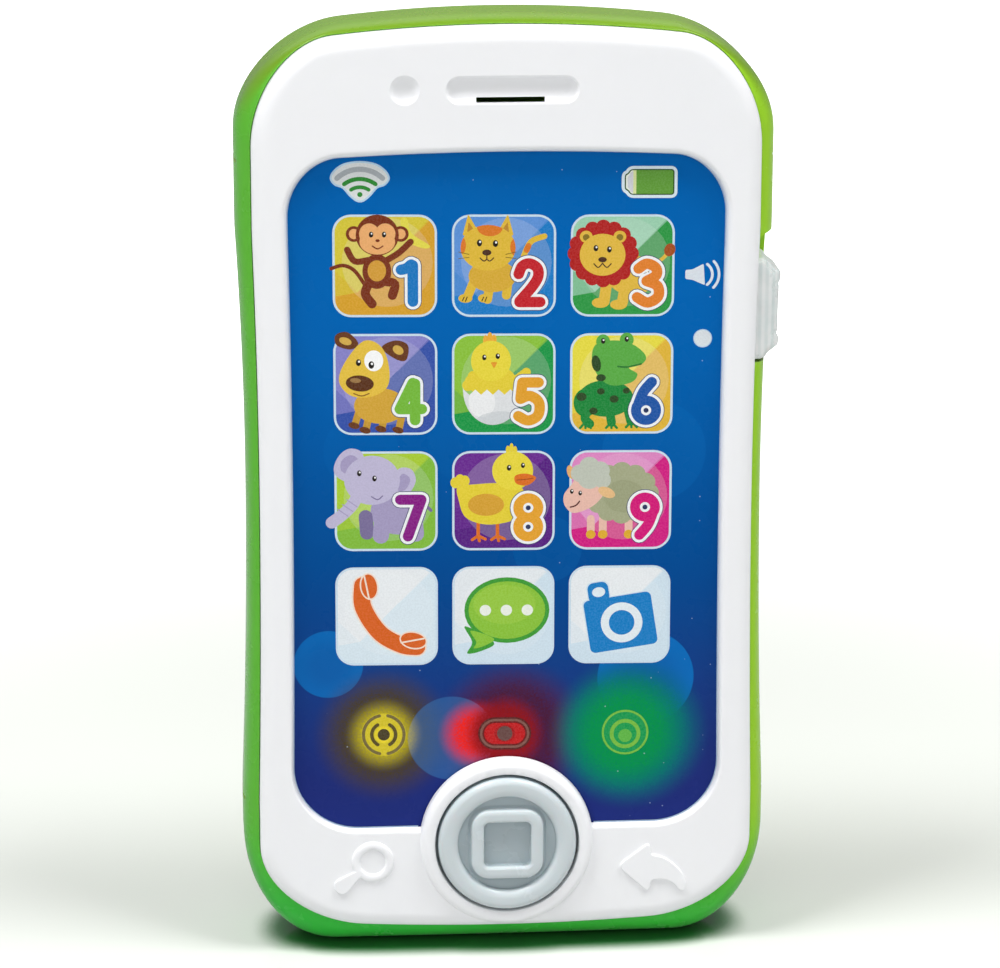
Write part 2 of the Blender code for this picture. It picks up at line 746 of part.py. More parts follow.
def make_ribbon_cable(parent):
    """The flat cable from the touch board's back down to the main board's front."""
    top_y = TOUCH_BOARD_FRONT + TOUCH_BOARD_THICK + GAP
    end_y = MAIN_BOARD_FRONT - GAP
    thick = 0.35
    profile = [(top_y, 56.0), (top_y, 52.5), (top_y + 1.3, 50.6), (end_y - thick, 49.5),
               (end_y - thick, 45.0)]
    mesh = bmesh.new()
    for side in (-1, 1):
        for y, z in profile:
            mesh.verts.new((6.5 * side - 14.0, y, z))
    mesh.verts.ensure_lookup_table()
    count = len(profile)
    faces = [mesh.faces.new((mesh.verts[i], mesh.verts[i + 1],
                             mesh.verts[count + i + 1], mesh.verts[count + i]))
             for i in range(count - 1)]
    strip = bmesh.ops.extrude_face_region(mesh, geom=faces, use_keep_orig=True)
    moved = [item for item in strip["geom"] if isinstance(item, bmesh.types.BMVert)]
    bmesh.ops.translate(mesh, verts=moved, vec=(0.0, thick, 0.0))
    return put("touch_ribbon_cable", mesh_from("touch_ribbon_cable", mesh),
               wire_sleeve("ribbon_sleeve", (0.55, 0.56, 0.58)), parent)


def make_light_shield(parent):
    """Three short tubes on one bar, which keep each lamp's light to its own patch."""
    base = MAIN_BOARD_FRONT - GAP
    bar_end = LIGHT_X + SHIELD_TUBE_R + 1.0
    bar_half = 1.8
    bar = ((-bar_end, base - 0.9, LIGHT_Z - bar_half), (bar_end, base, LIGHT_Z + bar_half))
    shield = put("light_shield", boxes("light_shield", bar), white_plastic(), parent)
    front = PLATE_FRONT + PLATE_THICK + GAP
    tubes = [(rod_profile(SHIELD_TUBE_R, front, base - 0.1), (x, 0.0, LIGHT_Z), "Y")
             for x in (-LIGHT_X, 0.0, LIGHT_X)]
    add(shield, turned("tubes", *tubes, steps=SMALL_ROUND_STEPS))
    bores = [(rod_profile(SHIELD_BORE_R, front - CUT_PAST, base + CUT_PAST), (x, 0.0, LIGHT_Z), "Y")
             for x in (-LIGHT_X, 0.0, LIGHT_X)]
    cut(shield, turned("bores", *bores, steps=SMALL_ROUND_STEPS))
    return shield


def make_lamp(name, colour, x, parent):
    """A domed light-emitting diode that points at the screen."""
    base = MAIN_BOARD_FRONT - GAP
    shoulder = base - 2.0
    rise = LAMP_HEIGHT - 2.0
    profile = [(0.0, base), (LAMP_FLANGE_R, base), (LAMP_FLANGE_R, base - 0.8), (LAMP_R, base - 0.8),
               (LAMP_R, shoulder)]
    for degrees in (30.0, 60.0):
        angle = math.radians(degrees)
        profile.append((LAMP_R * math.cos(angle), shoulder - rise * math.sin(angle)))
    profile.append((0.0, base - LAMP_HEIGHT))
    mesh = bmesh.new()
    add_turned(mesh, profile, steps=20)
    return put(name, mesh_from(name, mesh), coloured_lens(name + "_lens", colour), parent,
               (x, 0.0, LIGHT_Z))


# ================================================================ home button

def make_home_button(axis):
    """The round cap with its dished middle, raised square, retaining flange and centre stem."""
    front = BUTTON_FRONT
    profile = [(0.0, -7.6), (2.5, -7.6), (2.5, -9.7), (BUTTON_FLANGE_R, -9.7),
               (BUTTON_FLANGE_R, -10.9), (BUTTON_R, -10.9), (BUTTON_R, front + 0.6),
               (BUTTON_R - 0.6, front), (BUTTON_DISH_R + 0.3, front), (BUTTON_DISH_R - 0.5, front + 0.9),
               (0.0, front + 0.9)]
    mesh = bmesh.new()
    add_turned(mesh, profile, steps=RING_STEPS)
    button = put("home_button", mesh_from("home_button", mesh), grey_plastic(), axis)
    raised = rounded_box_points((0.0, 0.0), (BUTTON_SQUARE, BUTTON_SQUARE), 3.0)
    add(button, prism("raised_square", (raised, front - 0.1, front + 1.5)))
    hollow = rounded_box_points((0.0, 0.0), (BUTTON_SQUARE_HOLE, BUTTON_SQUARE_HOLE), 0.8)
    cut(button, prism("square_hollow", (hollow, front - 1.0, front + 1.2)))
    flat = -BUTTON_R + 0.3
    cut(button, boxes("flange_flat", ((-9.0, -11.2, -BUTTON_FLANGE_R - 1.0), (9.0, -9.0, flat))))
    return button


def make_button_dome(parent):
    """The silicone dome that returns the button and closes its contact."""
    base = MAIN_BOARD_FRONT - GAP
    profile = [(0.0, base), (6.0, base), (6.0, base - 0.7), (4.2, base - 0.7), (2.9, base - 2.4),
               (2.6, base - 3.0), (0.0, base - 3.0)]
    mesh = bmesh.new()
    add_turned(mesh, profile, steps=24)
    return put("button_return_dome", mesh_from("button_return_dome", mesh), silicone_rubber(),
               parent, (0.0, 0.0, HOME_Z))


# ================================================================ electronics

def make_main_board(parent):
    points = rounded_box_points((0.0, 35.5), (64.0, 55.0), 3.0)
    back = MAIN_BOARD_FRONT + MAIN_BOARD_THICK
    board = put("main_circuit_board",
                prism("main_circuit_board", (points, MAIN_BOARD_FRONT, back)), circuit_board(), parent)
    holes = [(circle_points((x, z), CASE_BOSS_R + 0.4), -10.0, 10.0) for x, z in CASE_SCREWS[2:]]
    holes += [(circle_points((x, z), 1.3, 16), -10.0, 10.0) for x, z in BOARD_SCREWS]
    cut(board, prism("board_holes", *holes))
    return board


def make_sound_chip(parent):
    base = MAIN_BOARD_FRONT + MAIN_BOARD_THICK + GAP
    profile = [(0.0, base), (5.6, base), (5.1, base + 0.7), (3.4, base + 1.2), (0.0, base + 1.4)]
    mesh = bmesh.new()
    add_turned(mesh, profile, steps=24)
    return put("sound_chip", mesh_from("sound_chip", mesh), epoxy_resin(), parent, (-9.0, 0.0, 23.0))


def make_capacitor(parent):
    """A small electrolytic can that lies along X on the back of the main board."""
    radius = 2.5
    centre_y = MAIN_BOARD_FRONT + MAIN_BOARD_THICK + GAP + radius
    profile = [(0.0, -4.0), (radius - 0.3, -4.0), (radius, -3.7), (radius, 2.6), (radius - 0.35, 2.9),
               (radius, 3.2), (radius, 4.0), (0.0, 4.0)]
    mesh = bmesh.new()
    add_turned(mesh, profile, axis="X", steps=20)
    return put("smoothing_capacitor", mesh_from("smoothing_capacitor", mesh), black_plastic(), parent,
               (9.0, centre_y, 26.0))


def screw_mesh(name, screw):
    """A pan-head screw whose head starts at y = 0 and whose shank runs towards -Y."""
    head_radius, head_height, shank_radius, length = screw
    profile = [(0.0, head_height), (0.75 * head_radius, head_height),
               (head_radius, 0.55 * head_height), (head_radius, 0.0), (shank_radius, 0.0),
               (shank_radius, -length + shank_radius), (0.0, -length)]
    mesh = bmesh.new()
    add_turned(mesh, profile, steps=12)
    return mesh_from(name, mesh)


def cross_recess(piece, screw):
    """A cross-shaped driver recess in a screw head."""
    size = RECESS_SHARE * screw.head_radius
    arm = 0.22 * size
    top = screw.head_height
    depth = RECESS_SHARE * top
    cut(piece, boxes("cross_wide", ((-size, top - depth, -arm), (size, top + 1.0, arm))))
    cut(piece, boxes("cross_tall", ((-arm, top - depth, -size), (arm, top + 1.0, size))))


def make_case_screws(parent):
    for number, (x, z) in enumerate(CASE_SCREWS, start=1):
        name = f"case_screw_{number}"
        screw = put(name, screw_mesh(name, CASE_SCREW), plated_steel(), parent,
                    (x, CASE_HEAD_FLOOR + GAP, z))
        cross_recess(screw, CASE_SCREW)


def make_board_screws(parent):
    for number, (x, z) in enumerate(BOARD_SCREWS, start=1):
        name = f"board_screw_{number}"
        screw = put(name, screw_mesh(name, BOARD_SCREW), plated_steel(), parent,
                    (x, MAIN_BOARD_FRONT - GAP, z))
        screw.rotation_euler = (0.0, 0.0, math.pi)


# ================================================================ slide switch

def make_slide_knob(axis):
    """Outer thumb pad with two ridges, a neck through the wall and a fork inside."""
    low = KNOB_BOTTOM - SWITCH_Z
    high = KNOB_TOP - SWITCH_Z
    base_x = POCKET_FLOOR_X + GAP
    side = [(base_x, low), (base_x + 1.6, low), (base_x + 2.3, low + 2.6), (KNOB_OUTER_X, low + 3.0),
            (KNOB_OUTER_X, low + 4.8), (KNOB_OUTER_X - 0.7, low + 5.6),
            (KNOB_OUTER_X - 0.7, high - 5.6), (KNOB_OUTER_X, high - 4.8), (KNOB_OUTER_X, high - 3.0),
            (base_x + 2.3, high - 2.6), (base_x + 1.6, high), (base_x, high)]
    knob = put("slide_knob", prism("slide_knob", (side, POCKET_Y[0] + 0.8, POCKET_Y[1] - GAP)),
               frosted_plastic(), axis)
    neck_low = (37.2, NECK_Y[0], NECK_Z[0] - SWITCH_Z)
    neck_high = (base_x + 0.8, NECK_Y[1], NECK_Z[1] - SWITCH_Z)
    add(knob, boxes("knob_neck", (neck_low, neck_high)))
    add(knob, boxes("knob_clip", ((36.8, NECK_Y[0] - 1.2, -4.0), (38.3, NECK_Y[1] + 1.2, 4.0))))
    cut(knob, boxes("lever_notch", ((36.0, NECK_Y[0] + 0.1, -1.3), (37.9, NECK_Y[1] - 0.1, 1.3))))
    return knob


def make_switch_lever(axis):
    low_y = NECK_Y[0] + 0.4
    high_y = NECK_Y[1] - 0.4
    lever = put("slide_switch_lever", boxes("slide_switch_lever", ((32.6, low_y, -1.0),
                                                                   (37.6, high_y, 1.0))),
                black_plastic(), axis)
    add(lever, boxes("lever_foot", ((32.6, low_y - 0.7, -1.8), (33.6, high_y + 0.7, 1.8))))
    return lever


def make_switch_body(parent):
    middle_y = 0.5 * (NECK_Y[0] + NECK_Y[1])
    low = (29.2, middle_y - 2.7, SWITCH_Z - 6.5)
    high = (35.2, middle_y + 2.7, SWITCH_Z + 9.5)
    body = put("slide_switch_body", boxes("slide_switch_body", (low, high)), plated_steel(), parent)
    cut(body, boxes("lever_chamber", ((32.3, middle_y - 1.9, SWITCH_Z - 2.1),
                                      (34.0, middle_y + 1.9, SWITCH_Z + KNOB_TRAVEL + 2.1))))
    cut(body, boxes("lever_window", ((33.0, middle_y - 1.15, SWITCH_Z - 1.3),
                                     (36.0, middle_y + 1.15, SWITCH_Z + KNOB_TRAVEL + 1.3))))
    return body


def make_switch_board(parent):
    return put("slide_switch_board",
               boxes("slide_switch_board", ((27.4, -7.0, 98.5), (28.9, 3.0, 123.0))),
               circuit_board(), parent)


# ================================================================ speaker

def make_speaker(parent, cone_axis):
    """A small moving-coil speaker that faces the slots in the back."""
    rim = INNER_BACK - GAP
    basket = [(CONE_R + 2.4, rim), (SPEAKER_R, rim), (SPEAKER_R, rim - 0.9), (12.6, rim - 0.9),
              (7.6, rim - 4.4), (2.6, rim - 4.4), (2.6, rim - 3.6), (7.2, rim - 3.6),
              (12.0, rim - 0.5), (CONE_R + 2.4, rim - 0.5)]
    put("speaker_frame", turned("speaker_frame", (basket, (0.0, 0.0, 0.0), "Y")), plated_steel(),
        parent, (0.0, 0.0, SPEAKER_Z))
    magnet_top = rim - 4.4 - GAP
    put("speaker_magnet", turned("speaker_magnet", (rod_profile(MAGNET_R, magnet_top - 3.0, magnet_top),
                                                    (0.0, 0.0, 0.0), "Y")),
        ferrite(), parent, (0.0, 0.0, SPEAKER_Z))
    cone = [(0.0, rim - 1.3), (2.6, rim - 1.6), (3.4, rim - 2.0), (CONE_R, rim - 0.5),
            (CONE_R, rim - 0.8), (3.4, rim - 2.5), (2.0, rim - 2.7), (0.0, rim - 2.7)]
    put("speaker_cone", turned("speaker_cone", (cone, (0.0, 0.0, 0.0), "Y")), paper_cone(), cone_axis)
    edge = [(CONE_R + 0.3, rim - 0.35), (CONE_R + 1.2, rim - 0.1), (CONE_R + 2.1, rim - 0.15),
            (CONE_R + 2.1, rim - 0.4), (CONE_R + 1.2, rim - 0.45), (CONE_R + 0.3, rim - 0.75)]
    put("speaker_surround", turned("speaker_surround", (edge, (0.0, 0.0, 0.0), "Y")), foam_rubber(),
        parent, (0.0, 0.0, SPEAKER_Z))


# ================================================================ battery bay

def cell_mesh(name):
    """One round cell along Z, with its base at z = 0 and its nub on top."""
    barrel = CELL_LENGTH - NUB_LENGTH
    profile = [(0.0, 0.0), (CELL_R - 0.5, 0.0), (CELL_R, 0.4), (CELL_R, barrel - 0.5),
               (CELL_R - 0.5, barrel), (NUB_R, barrel), (NUB_R, CELL_LENGTH), (0.0, CELL_LENGTH)]
    mesh = bmesh.new()
    add_turned(mesh, profile, axis="Z", steps=24)
    return mesh_from(name, mesh)


def make_cells(parent):
    """Three cells side by side, the middle one the other way up."""
    contact = 1.5
    high = POCKET_BAY_Z[1] - contact
    low = POCKET_BAY_Z[0] + contact
    for number, column in enumerate((-1, 0, 1), start=1):
        name = f"battery_cell_{number}"
        cell = put(name, cell_mesh(name), cell_sleeve(), parent,
                   (column * CELL_PITCH, CELL_Y, high - CELL_LENGTH))
        if column == 0:
            cell.rotation_euler = (math.pi, 0.0, 0.0)
            cell.location.z = (low + CELL_LENGTH) * MM


def coil_points(base_radius, tip_radius, height, turns):
    """A cone-shaped coil that starts inside its plate and winds up towards the cell."""
    lift = 0.9
    steps_per_turn = 8
    count = int(turns * steps_per_turn)
    points = [(base_radius, 0.0, -0.25)]
    for step in range(count + 1):
        share = step / count
        angle = 2.0 * math.pi * turns * share
        radius = base_radius + (tip_radius - base_radius) * share
        points.append((radius * math.cos(angle), radius * math.sin(angle),
                       lift + (height - lift) * share))
    return points


def make_contact(name, columns, spring_column, at_top, parent):
    """A plated strip at one end of the bay, with a coil where it meets a cell's flat end."""
    half = 4.3
    thick = 0.5
    facing = -1.0 if at_top else 1.0
    wall_z = POCKET_BAY_Z[1] - GAP if at_top else POCKET_BAY_Z[0] + GAP
    low_z, high_z = sorted((-facing * thick, 0.0))
    strip = put(name, boxes(name, ((min(columns) * CELL_PITCH - half, -4.6, low_z),
                                   (max(columns) * CELL_PITCH + half, 4.6, high_z))),
                plated_steel(), parent, (0.0, CELL_Y, wall_z + facing * thick))
    if spring_column is not None:
        coil = [(x + spring_column * CELL_PITCH, y, facing * z)
                for x, y, z in coil_points(3.4, 2.2, 4.6, 3.0)]
        add(strip, bent_wire(name + "_coil", coil, 0.35, detail=0))


# ================================================================ door

def make_battery_door(axis):
    """The flat cover of the battery bay, with a round boss for its own screw."""
    points = [(x, z - DOOR_SCREW_Z) for x, z in door_outline(0.0)]
    door = put("battery_door", prism("battery_door", (points, BACK - DOOR_THICK, BACK)),
               green_plastic(), axis)
    add(door, turned("door_boss", (rod_profile(DOOR_BOSS_R, 9.9, BACK - 0.5), (0.0, 0.0, 0.0), "Y")))
    shank_r = DOOR_SCREW.shank_radius + 0.4
    head_r = DOOR_SCREW.head_radius + GAP
    well = [(0.0, 8.0), (shank_r, 8.0), (shank_r, DOOR_HEAD_FLOOR), (head_r, DOOR_HEAD_FLOOR),
            (head_r, BACK + CUT_PAST), (0.0, BACK + CUT_PAST)]
    cut(door, turned("door_well", (well, (0.0, 0.0, 0.0), "Y")))
    return door


def make_door_screw(axis):
    name = "battery_door_screw"
    screw = put(name, screw_mesh(name, DOOR_SCREW), plated_steel(), axis,
                (0.0, DOOR_HEAD_FLOOR + GAP, 0.0))
    cross_recess(screw, DOOR_SCREW)
    return screw


# ================================================================ wires

def make_wires(parent):
    red = (0.55, 0.02, 0.02)
    black = (0.02, 0.02, 0.02)
    battery_back = MAIN_BOARD_FRONT + MAIN_BOARD_THICK + GAP + 0.6
    for name, colour, side in (("battery_wire_red", red, 1.0), ("battery_wire_black", black, -1.0)):
        points = [(side * 15.5, 6.0, 34.0), (side * 15.5, 5.2, 32.0), (side * 16.3, 3.2, 30.6),
                  (side * 17.5, 0.9, 30.4), (side * 18.2, battery_back + 0.2, 31.4),
                  (side * 18.4, battery_back, 33.0)]
        put(name, bent_wire(name, points, 0.55), wire_sleeve(name + "_sleeve", colour), parent)
    for name, colour, side in (("speaker_wire_red", red, 1.0), ("speaker_wire_black", black, -1.0)):
        points = [(side * 5.0, 3.2, 112.0), (side * 5.4, 1.2, 108.5), (side * 6.4, -2.2, 102.0),
                  (side * 6.6, -3.9, 96.0), (side * 6.2, -4.2, 84.0), (side * 6.0, -4.4, 72.0),
                  (side * 5.6, -5.0, 63.0), (side * 5.0, -5.0, 58.0)]
        put(name, bent_wire(name, points, 0.5), wire_sleeve(name + "_sleeve", colour), parent)


# ================================================================ assembly

def clear_scene():
    for existing in list(bpy.data.objects):
        bpy.data.objects.remove(existing)


def build():
    clear_scene()
    phone = put_axis("toy_phone", None, (0.0, 0.0, 0.0))
    make_rear_shell(phone)
    make_front_bezel(phone)
    make_screen_film(phone)
    make_screen_plate(phone)
    make_touch_board(phone)
    make_ribbon_cable(phone)
    make_light_shield(phone)
    make_lamp("led_yellow", (0.80, 0.60, 0.05), -LIGHT_X, phone)
    make_lamp("led_red", (0.70, 0.03, 0.02), 0.0, phone)
    make_lamp("led_green", (0.05, 0.55, 0.08), LIGHT_X, phone)
    make_home_button(put_axis("home_button_axis", phone, (0.0, 0.0, HOME_Z)))
    make_button_dome(phone)
    make_main_board(phone)
    make_sound_chip(phone)
    make_capacitor(phone)
    make_case_screws(phone)
    make_board_screws(phone)
    make_slide_knob(put_axis("slide_knob_axis", phone, (0.0, 0.0, SWITCH_Z)))
    make_switch_lever(put_axis("switch_lever_axis", phone, (0.0, 0.0, SWITCH_Z)))
    make_switch_body(phone)
    make_switch_board(phone)
    make_speaker(phone, put_axis("speaker_cone_axis", phone, (0.0, 0.0, SPEAKER_Z)))
    make_cells(phone)
    make_contact("battery_contact_negative", (-1,), -1, False, phone)
    make_contact("battery_contact_bridge_low", (0, 1), 1, False, phone)
    make_contact("battery_contact_bridge_high", (-1, 0), 0, True, phone)
    make_contact("battery_contact_positive", (1,), None, True, phone)
    door_axis = put_axis("battery_door_axis", phone, (0.0, 0.0, DOOR_SCREW_Z))
    make_battery_door(door_axis)
    make_door_screw(door_axis)
    make_wires(phone)
    bpy.context.view_layer.update()


build()
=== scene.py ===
"""Looks of the toy cell phone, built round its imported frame.

Lengths are in millimetres until a mesh is finished, and the scene is in metres. The phone stands on
its bottom edge with the screen towards -Y, +X to the right and +Z up. Outlines and flat art are
(x, z) points as seen from the front.
"""

import math
from collections import namedtuple

import bmesh
import bpy
import numpy as np
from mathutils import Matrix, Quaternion, Vector
from mathutils.geometry import delaunay_2d_cdt


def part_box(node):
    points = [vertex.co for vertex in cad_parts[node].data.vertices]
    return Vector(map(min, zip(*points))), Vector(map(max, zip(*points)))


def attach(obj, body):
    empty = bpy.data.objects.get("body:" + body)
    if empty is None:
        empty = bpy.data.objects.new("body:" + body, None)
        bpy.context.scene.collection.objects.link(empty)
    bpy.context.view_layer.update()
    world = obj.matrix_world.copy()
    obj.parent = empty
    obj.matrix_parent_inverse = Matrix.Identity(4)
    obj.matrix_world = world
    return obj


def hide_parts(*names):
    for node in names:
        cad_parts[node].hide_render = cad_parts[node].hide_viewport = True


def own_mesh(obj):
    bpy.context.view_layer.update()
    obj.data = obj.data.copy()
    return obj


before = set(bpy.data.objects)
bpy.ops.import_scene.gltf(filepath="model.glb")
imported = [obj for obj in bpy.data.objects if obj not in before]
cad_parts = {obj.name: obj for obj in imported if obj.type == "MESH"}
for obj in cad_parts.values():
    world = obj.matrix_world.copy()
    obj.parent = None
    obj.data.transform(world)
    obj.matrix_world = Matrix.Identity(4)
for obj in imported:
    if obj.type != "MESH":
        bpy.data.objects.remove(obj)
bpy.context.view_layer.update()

MM = 0.001


def box_mm(node):
    low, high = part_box(node)
    return low / MM, high / MM


def middle(node):
    low, high = box_mm(node)
    return 0.5 * (low + high)


# ================================================================ sizes taken from the frame

Outline = namedtuple("Outline", "waist flare top bottom top_corner bottom_corner crown keel")

SHELL_LOW, SHELL_HIGH = box_mm("rear_shell")
BEZEL_LOW, BEZEL_HIGH = box_mm("front_bezel")
FILM_LOW, FILM_HIGH = box_mm("screen_film")
DOOR_LOW, DOOR_HIGH = box_mm("battery_door")
KNOB_LOW, KNOB_HIGH = box_mm("slide_knob")
HOME = middle("button_return_dome")
HOME_AXIS = (HOME.x, 0.0, HOME.z)
SPEAKER = middle("speaker_frame")
DOOR_SCREW = middle("battery_door_screw")

FILM_LAP = 0.65
SHELL = Outline(SHELL_HIGH.x - 1.25, 1.25, SHELL_HIGH.z, SHELL_LOW.z, (17.5, 19.5), (15.0, 20.5),
                235.0, math.inf)
BEZEL = Outline(BEZEL_HIGH.x - 0.7, 0.7, BEZEL_HIGH.z, BEZEL_LOW.z, (13.0, 19.5), (17.0, 14.7),
                250.0, 400.0)
SILL = 0.6
WINDOW = Outline(FILM_HIGH.x - FILM_LAP - 0.4, 0.4, FILM_HIGH.z - FILM_LAP, FILM_LOW.z + FILM_LAP + SILL,
                 (8.5, 10.5), (11.0, 11.0), 520.0, math.inf)
WAIST_Z = 80.0
TOP_FLARE_SPAN = 43.0
BOTTOM_FLARE_SPAN = 53.0

FILM_FRONT = FILM_LOW.y
FILM_BACK = FILM_HIGH.y
FACE_FRONT = FILM_FRONT - 1.8
FACE_BACK = FILM_FRONT - 0.3
SKIRT_BACK = FACE_FRONT + 4.5
RING_FRONT = BEZEL_LOW.y
RIM_FRONT = SHELL_LOW.y
BACK = SHELL_HIGH.y
INNER_BACK = BACK - 2.0
BAND_FRONT = RIM_FRONT + 5.2
BAND_BACK = BACK - 12.0
WALL = 2.2
SEAM = 0.35
GAP = 0.3
INK_LIFT = 0.02


# ================================================================ colour and node helpers

def rgb(code):
    """A linear colour from a six-digit hex code."""
    channels = [int(code[i:i + 2], 16) / 255.0 for i in (0, 2, 4)]
    return tuple(c / 12.92 if c <= 0.04045 else ((c + 0.055) / 1.055) ** 2.4 for c in channels)


MIX_FIRST, MIX_SECOND, MIX_RESULT = 6, 7, 2     # where a Mix node keeps its colour sockets
PATCH_LOW, PATCH_HIGH = 0.3, 0.7                # the range that most of a noise texture stays in


class Finish:
    """A node material with short ways to add the nodes that the finishes below share."""

    def __init__(self, name):
        self.material = bpy.data.materials.new(name)
        self.material.use_nodes = True
        self.tree = self.material.node_tree
        self.shader = self.tree.nodes["Principled BSDF"]
        self.coords = self.add("ShaderNodeTexCoord").outputs["Object"]

    def add(self, kind, inputs=None, **settings):
        node = self.tree.nodes.new(kind)
        for key, value in settings.items():
            setattr(node, key, value)
        for key, value in (inputs or {}).items():
            self.feed(node.inputs[key], value)
        return node

    def feed(self, socket, value):
        """Link a socket or set its value; a colour may be a tuple or a hex code."""
        if isinstance(value, str):
            value = rgb(value)
        if isinstance(value, bpy.types.NodeSocket):
            self.tree.links.new(value, socket)
        elif isinstance(value, tuple) and len(value) == 3 and socket.type == "RGBA":
            socket.default_value = (*value, 1.0)
        else:
            socket.default_value = value

    def math(self, operation, first, second=0.0, clamp=False):
        node = self.add("ShaderNodeMath", {0: first, 1: second}, operation=operation, use_clamp=clamp)
        return node.outputs[0]

    def spread(self, value, low, high, to_low=0.0, to_high=1.0, kind="SMOOTHSTEP"):
        """Map a value from one range to another, with smooth ends unless told otherwise."""
        node = self.add("ShaderNodeMapRange", {"Value": value, "From Min": low, "From Max": high,
                                               "To Min": to_low, "To Max": to_high},
                        interpolation_type=kind)
        return node.outputs["Result"]

    def mix(self, share, first, second):
        node = self.add("ShaderNodeMix", data_type="RGBA")
        self.feed(node.inputs["Factor"], share)
        self.feed(node.inputs[MIX_FIRST], first)
        self.feed(node.inputs[MIX_SECOND], second)
        return node.outputs[MIX_RESULT]

    def noise(self, scale, detail=2.0, rough=0.5):
        node = self.add("ShaderNodeTexNoise", {"Vector": self.coords, "Scale": scale,
                                               "Detail": detail, "Roughness": rough})
        return node.outputs["Fac"]

    def patchy(self, scale, detail, low, high, rough=0.5):
        """A value that drifts between two limits from patch to patch."""
        return self.spread(self.noise(scale, detail, rough), PATCH_LOW, PATCH_HIGH, low, high)

    def product(self, first, second):
        return self.math("MULTIPLY", first, second)

    def axis(self, letter):
        return self.add("ShaderNodeSeparateXYZ", {0: self.coords}).outputs[letter]

    def distance(self, point):
        """Distance in metres from a fixed point given in millimetres."""
        place = tuple(value * MM for value in point)
        node = self.add("ShaderNodeVectorMath", {0: self.coords, 1: place}, operation="DISTANCE")
        return node.outputs["Value"]

    def bump(self, height, strength, reach):
        node = self.add("ShaderNodeBump", {"Height": height, "Strength": strength, "Distance": reach})
        self.feed(self.shader.inputs["Normal"], node.outputs["Normal"])

    def set(self, **values):
        """Set shader inputs by name, with underscores for the spaces."""
        for key, value in values.items():
            self.feed(self.shader.inputs[key.replace("_", " ")], value)
        return self.material


def surface_detail(finish, roughness, bump=0.06, smudge=0.05):
    """Uneven gloss from handling and a fine moulded grain."""
    finish.set(Roughness=finish.patchy(95.0, 4.0, roughness - smudge, roughness + smudge, rough=0.6))
    ripple = finish.noise(2600.0, 2.0)
    swell = finish.noise(160.0, 1.0)
    height = finish.math("ADD", finish.product(ripple, 0.35), swell)
    finish.bump(height, bump, 0.0002)


def worn(finish, colour, lighter, share):
    """The colour with paler, slightly rubbed outer edges."""
    edge = finish.add("ShaderNodeNewGeometry").outputs["Pointiness"]
    scatter = finish.noise(700.0, 3.0)
    rub = finish.product(finish.spread(edge, 0.53, 0.60), finish.spread(scatter, 0.4, 0.7))
    return finish.mix(finish.product(rub, share), colour, lighter)


# ================================================================ finishes

def moulded(name, code, roughness, mottle=0.04, **more):
    """Injection-moulded plastic in one colour, very slightly uneven."""
    finish = Finish(name)
    base = rgb(code)
    dark = tuple(c * (1.0 - mottle) for c in base)
    light = tuple(min(1.0, c * (1.0 + mottle)) for c in base)
    colour = finish.mix(finish.noise(60.0, 3.0), dark, light)
    surface_detail(finish, roughness)
    finish.set(Base_Color=worn(finish, colour, tuple(0.5 * (1.0 + c) for c in base), 0.25))
    return finish.set(**more)


def green_plastic():
    """Lime on the right and leaf green on the left as painted light from the right, painted shade where it
    faces up, and painted bluish-green shade at the foot.
    """
    finish = Finish("green_plastic")
    # Painted light: leaf green on the left grading to lime on the right, as if lit from the right.
    across = finish.spread(finish.axis("X"), -0.045, 0.045, kind="LINEAR")
    colour = finish.mix(across, "5bb337", "9dd22c")
    # Painted shade: a bluer, deeper green over the lowest 26 mm, for the shade and green bounce at the foot.
    low = finish.spread(finish.axis("Z"), 0.026, 0.002)
    colour = finish.mix(finish.product(low, 0.9), colour, "20c43e")
    # Painted shade: darker olive where the surface faces up, to hold down the overhead light.
    facing = finish.add("ShaderNodeSeparateXYZ", {0: finish.add("ShaderNodeNewGeometry").outputs["Normal"]})
    painted_top_shade = finish.spread(facing.outputs["Z"], 0.10, 0.65)
    colour = finish.mix(finish.product(painted_top_shade, 0.9), colour, "6e901b")
    colour = finish.mix(finish.patchy(70.0, 3.0, 0.0, 0.08), colour, "4aa624")
    surface_detail(finish, 0.26, smudge=0.03)
    colour = worn(finish, colour, "c4ec7c", 0.2)
    return finish.set(Base_Color=colour, Subsurface_Weight=0.08, Subsurface_Scale=0.002,
                      Specular_IOR_Level=0.25, Subsurface_Radius=(0.5, 1.0, 0.2))


def white_plastic():
    """A clean, slightly cool white with faint traces of handling."""
    finish = Finish("white_plastic")
    colour = finish.mix(finish.noise(30.0, 2.0), "f4f5f8", "f8f8fa")
    handled = finish.spread(finish.noise(150.0), 0.3, 1.0, 0.0, 0.02, kind="LINEAR")
    colour = finish.mix(handled, colour, "dcd8d0")
    surface_detail(finish, 0.28, bump=0.03, smudge=0.003)
    return finish.set(Base_Color=colour, Subsurface_Weight=0.10, Subsurface_Scale=0.0015,
                      Subsurface_Radius=(1.0, 1.0, 0.9))


def grey_plastic():
    """The button's cool grey, with painted shade that deepens it down in the dish and leaves its high parts
    paler.
    """
    finish = Finish("grey_plastic")
    front = box_mm("home_button")[0].y * MM
    # Painted shade: the grey darkens with depth behind the button's front, into the dish and the hollow.
    painted_depth_shade = finish.spread(finish.axis("Y"), front + 0.0002, front + 0.0013)
    colour = finish.mix(painted_depth_shade, "cdd6d9", "a9b6bb")
    colour = finish.mix(finish.patchy(60.0, 3.0, 0.0, 0.06), colour, "9aa8ae")
    surface_detail(finish, 0.26, bump=0.03, smudge=0.02)
    return finish.set(Base_Color=colour, Subsurface_Weight=0.08, Subsurface_Scale=0.0015)


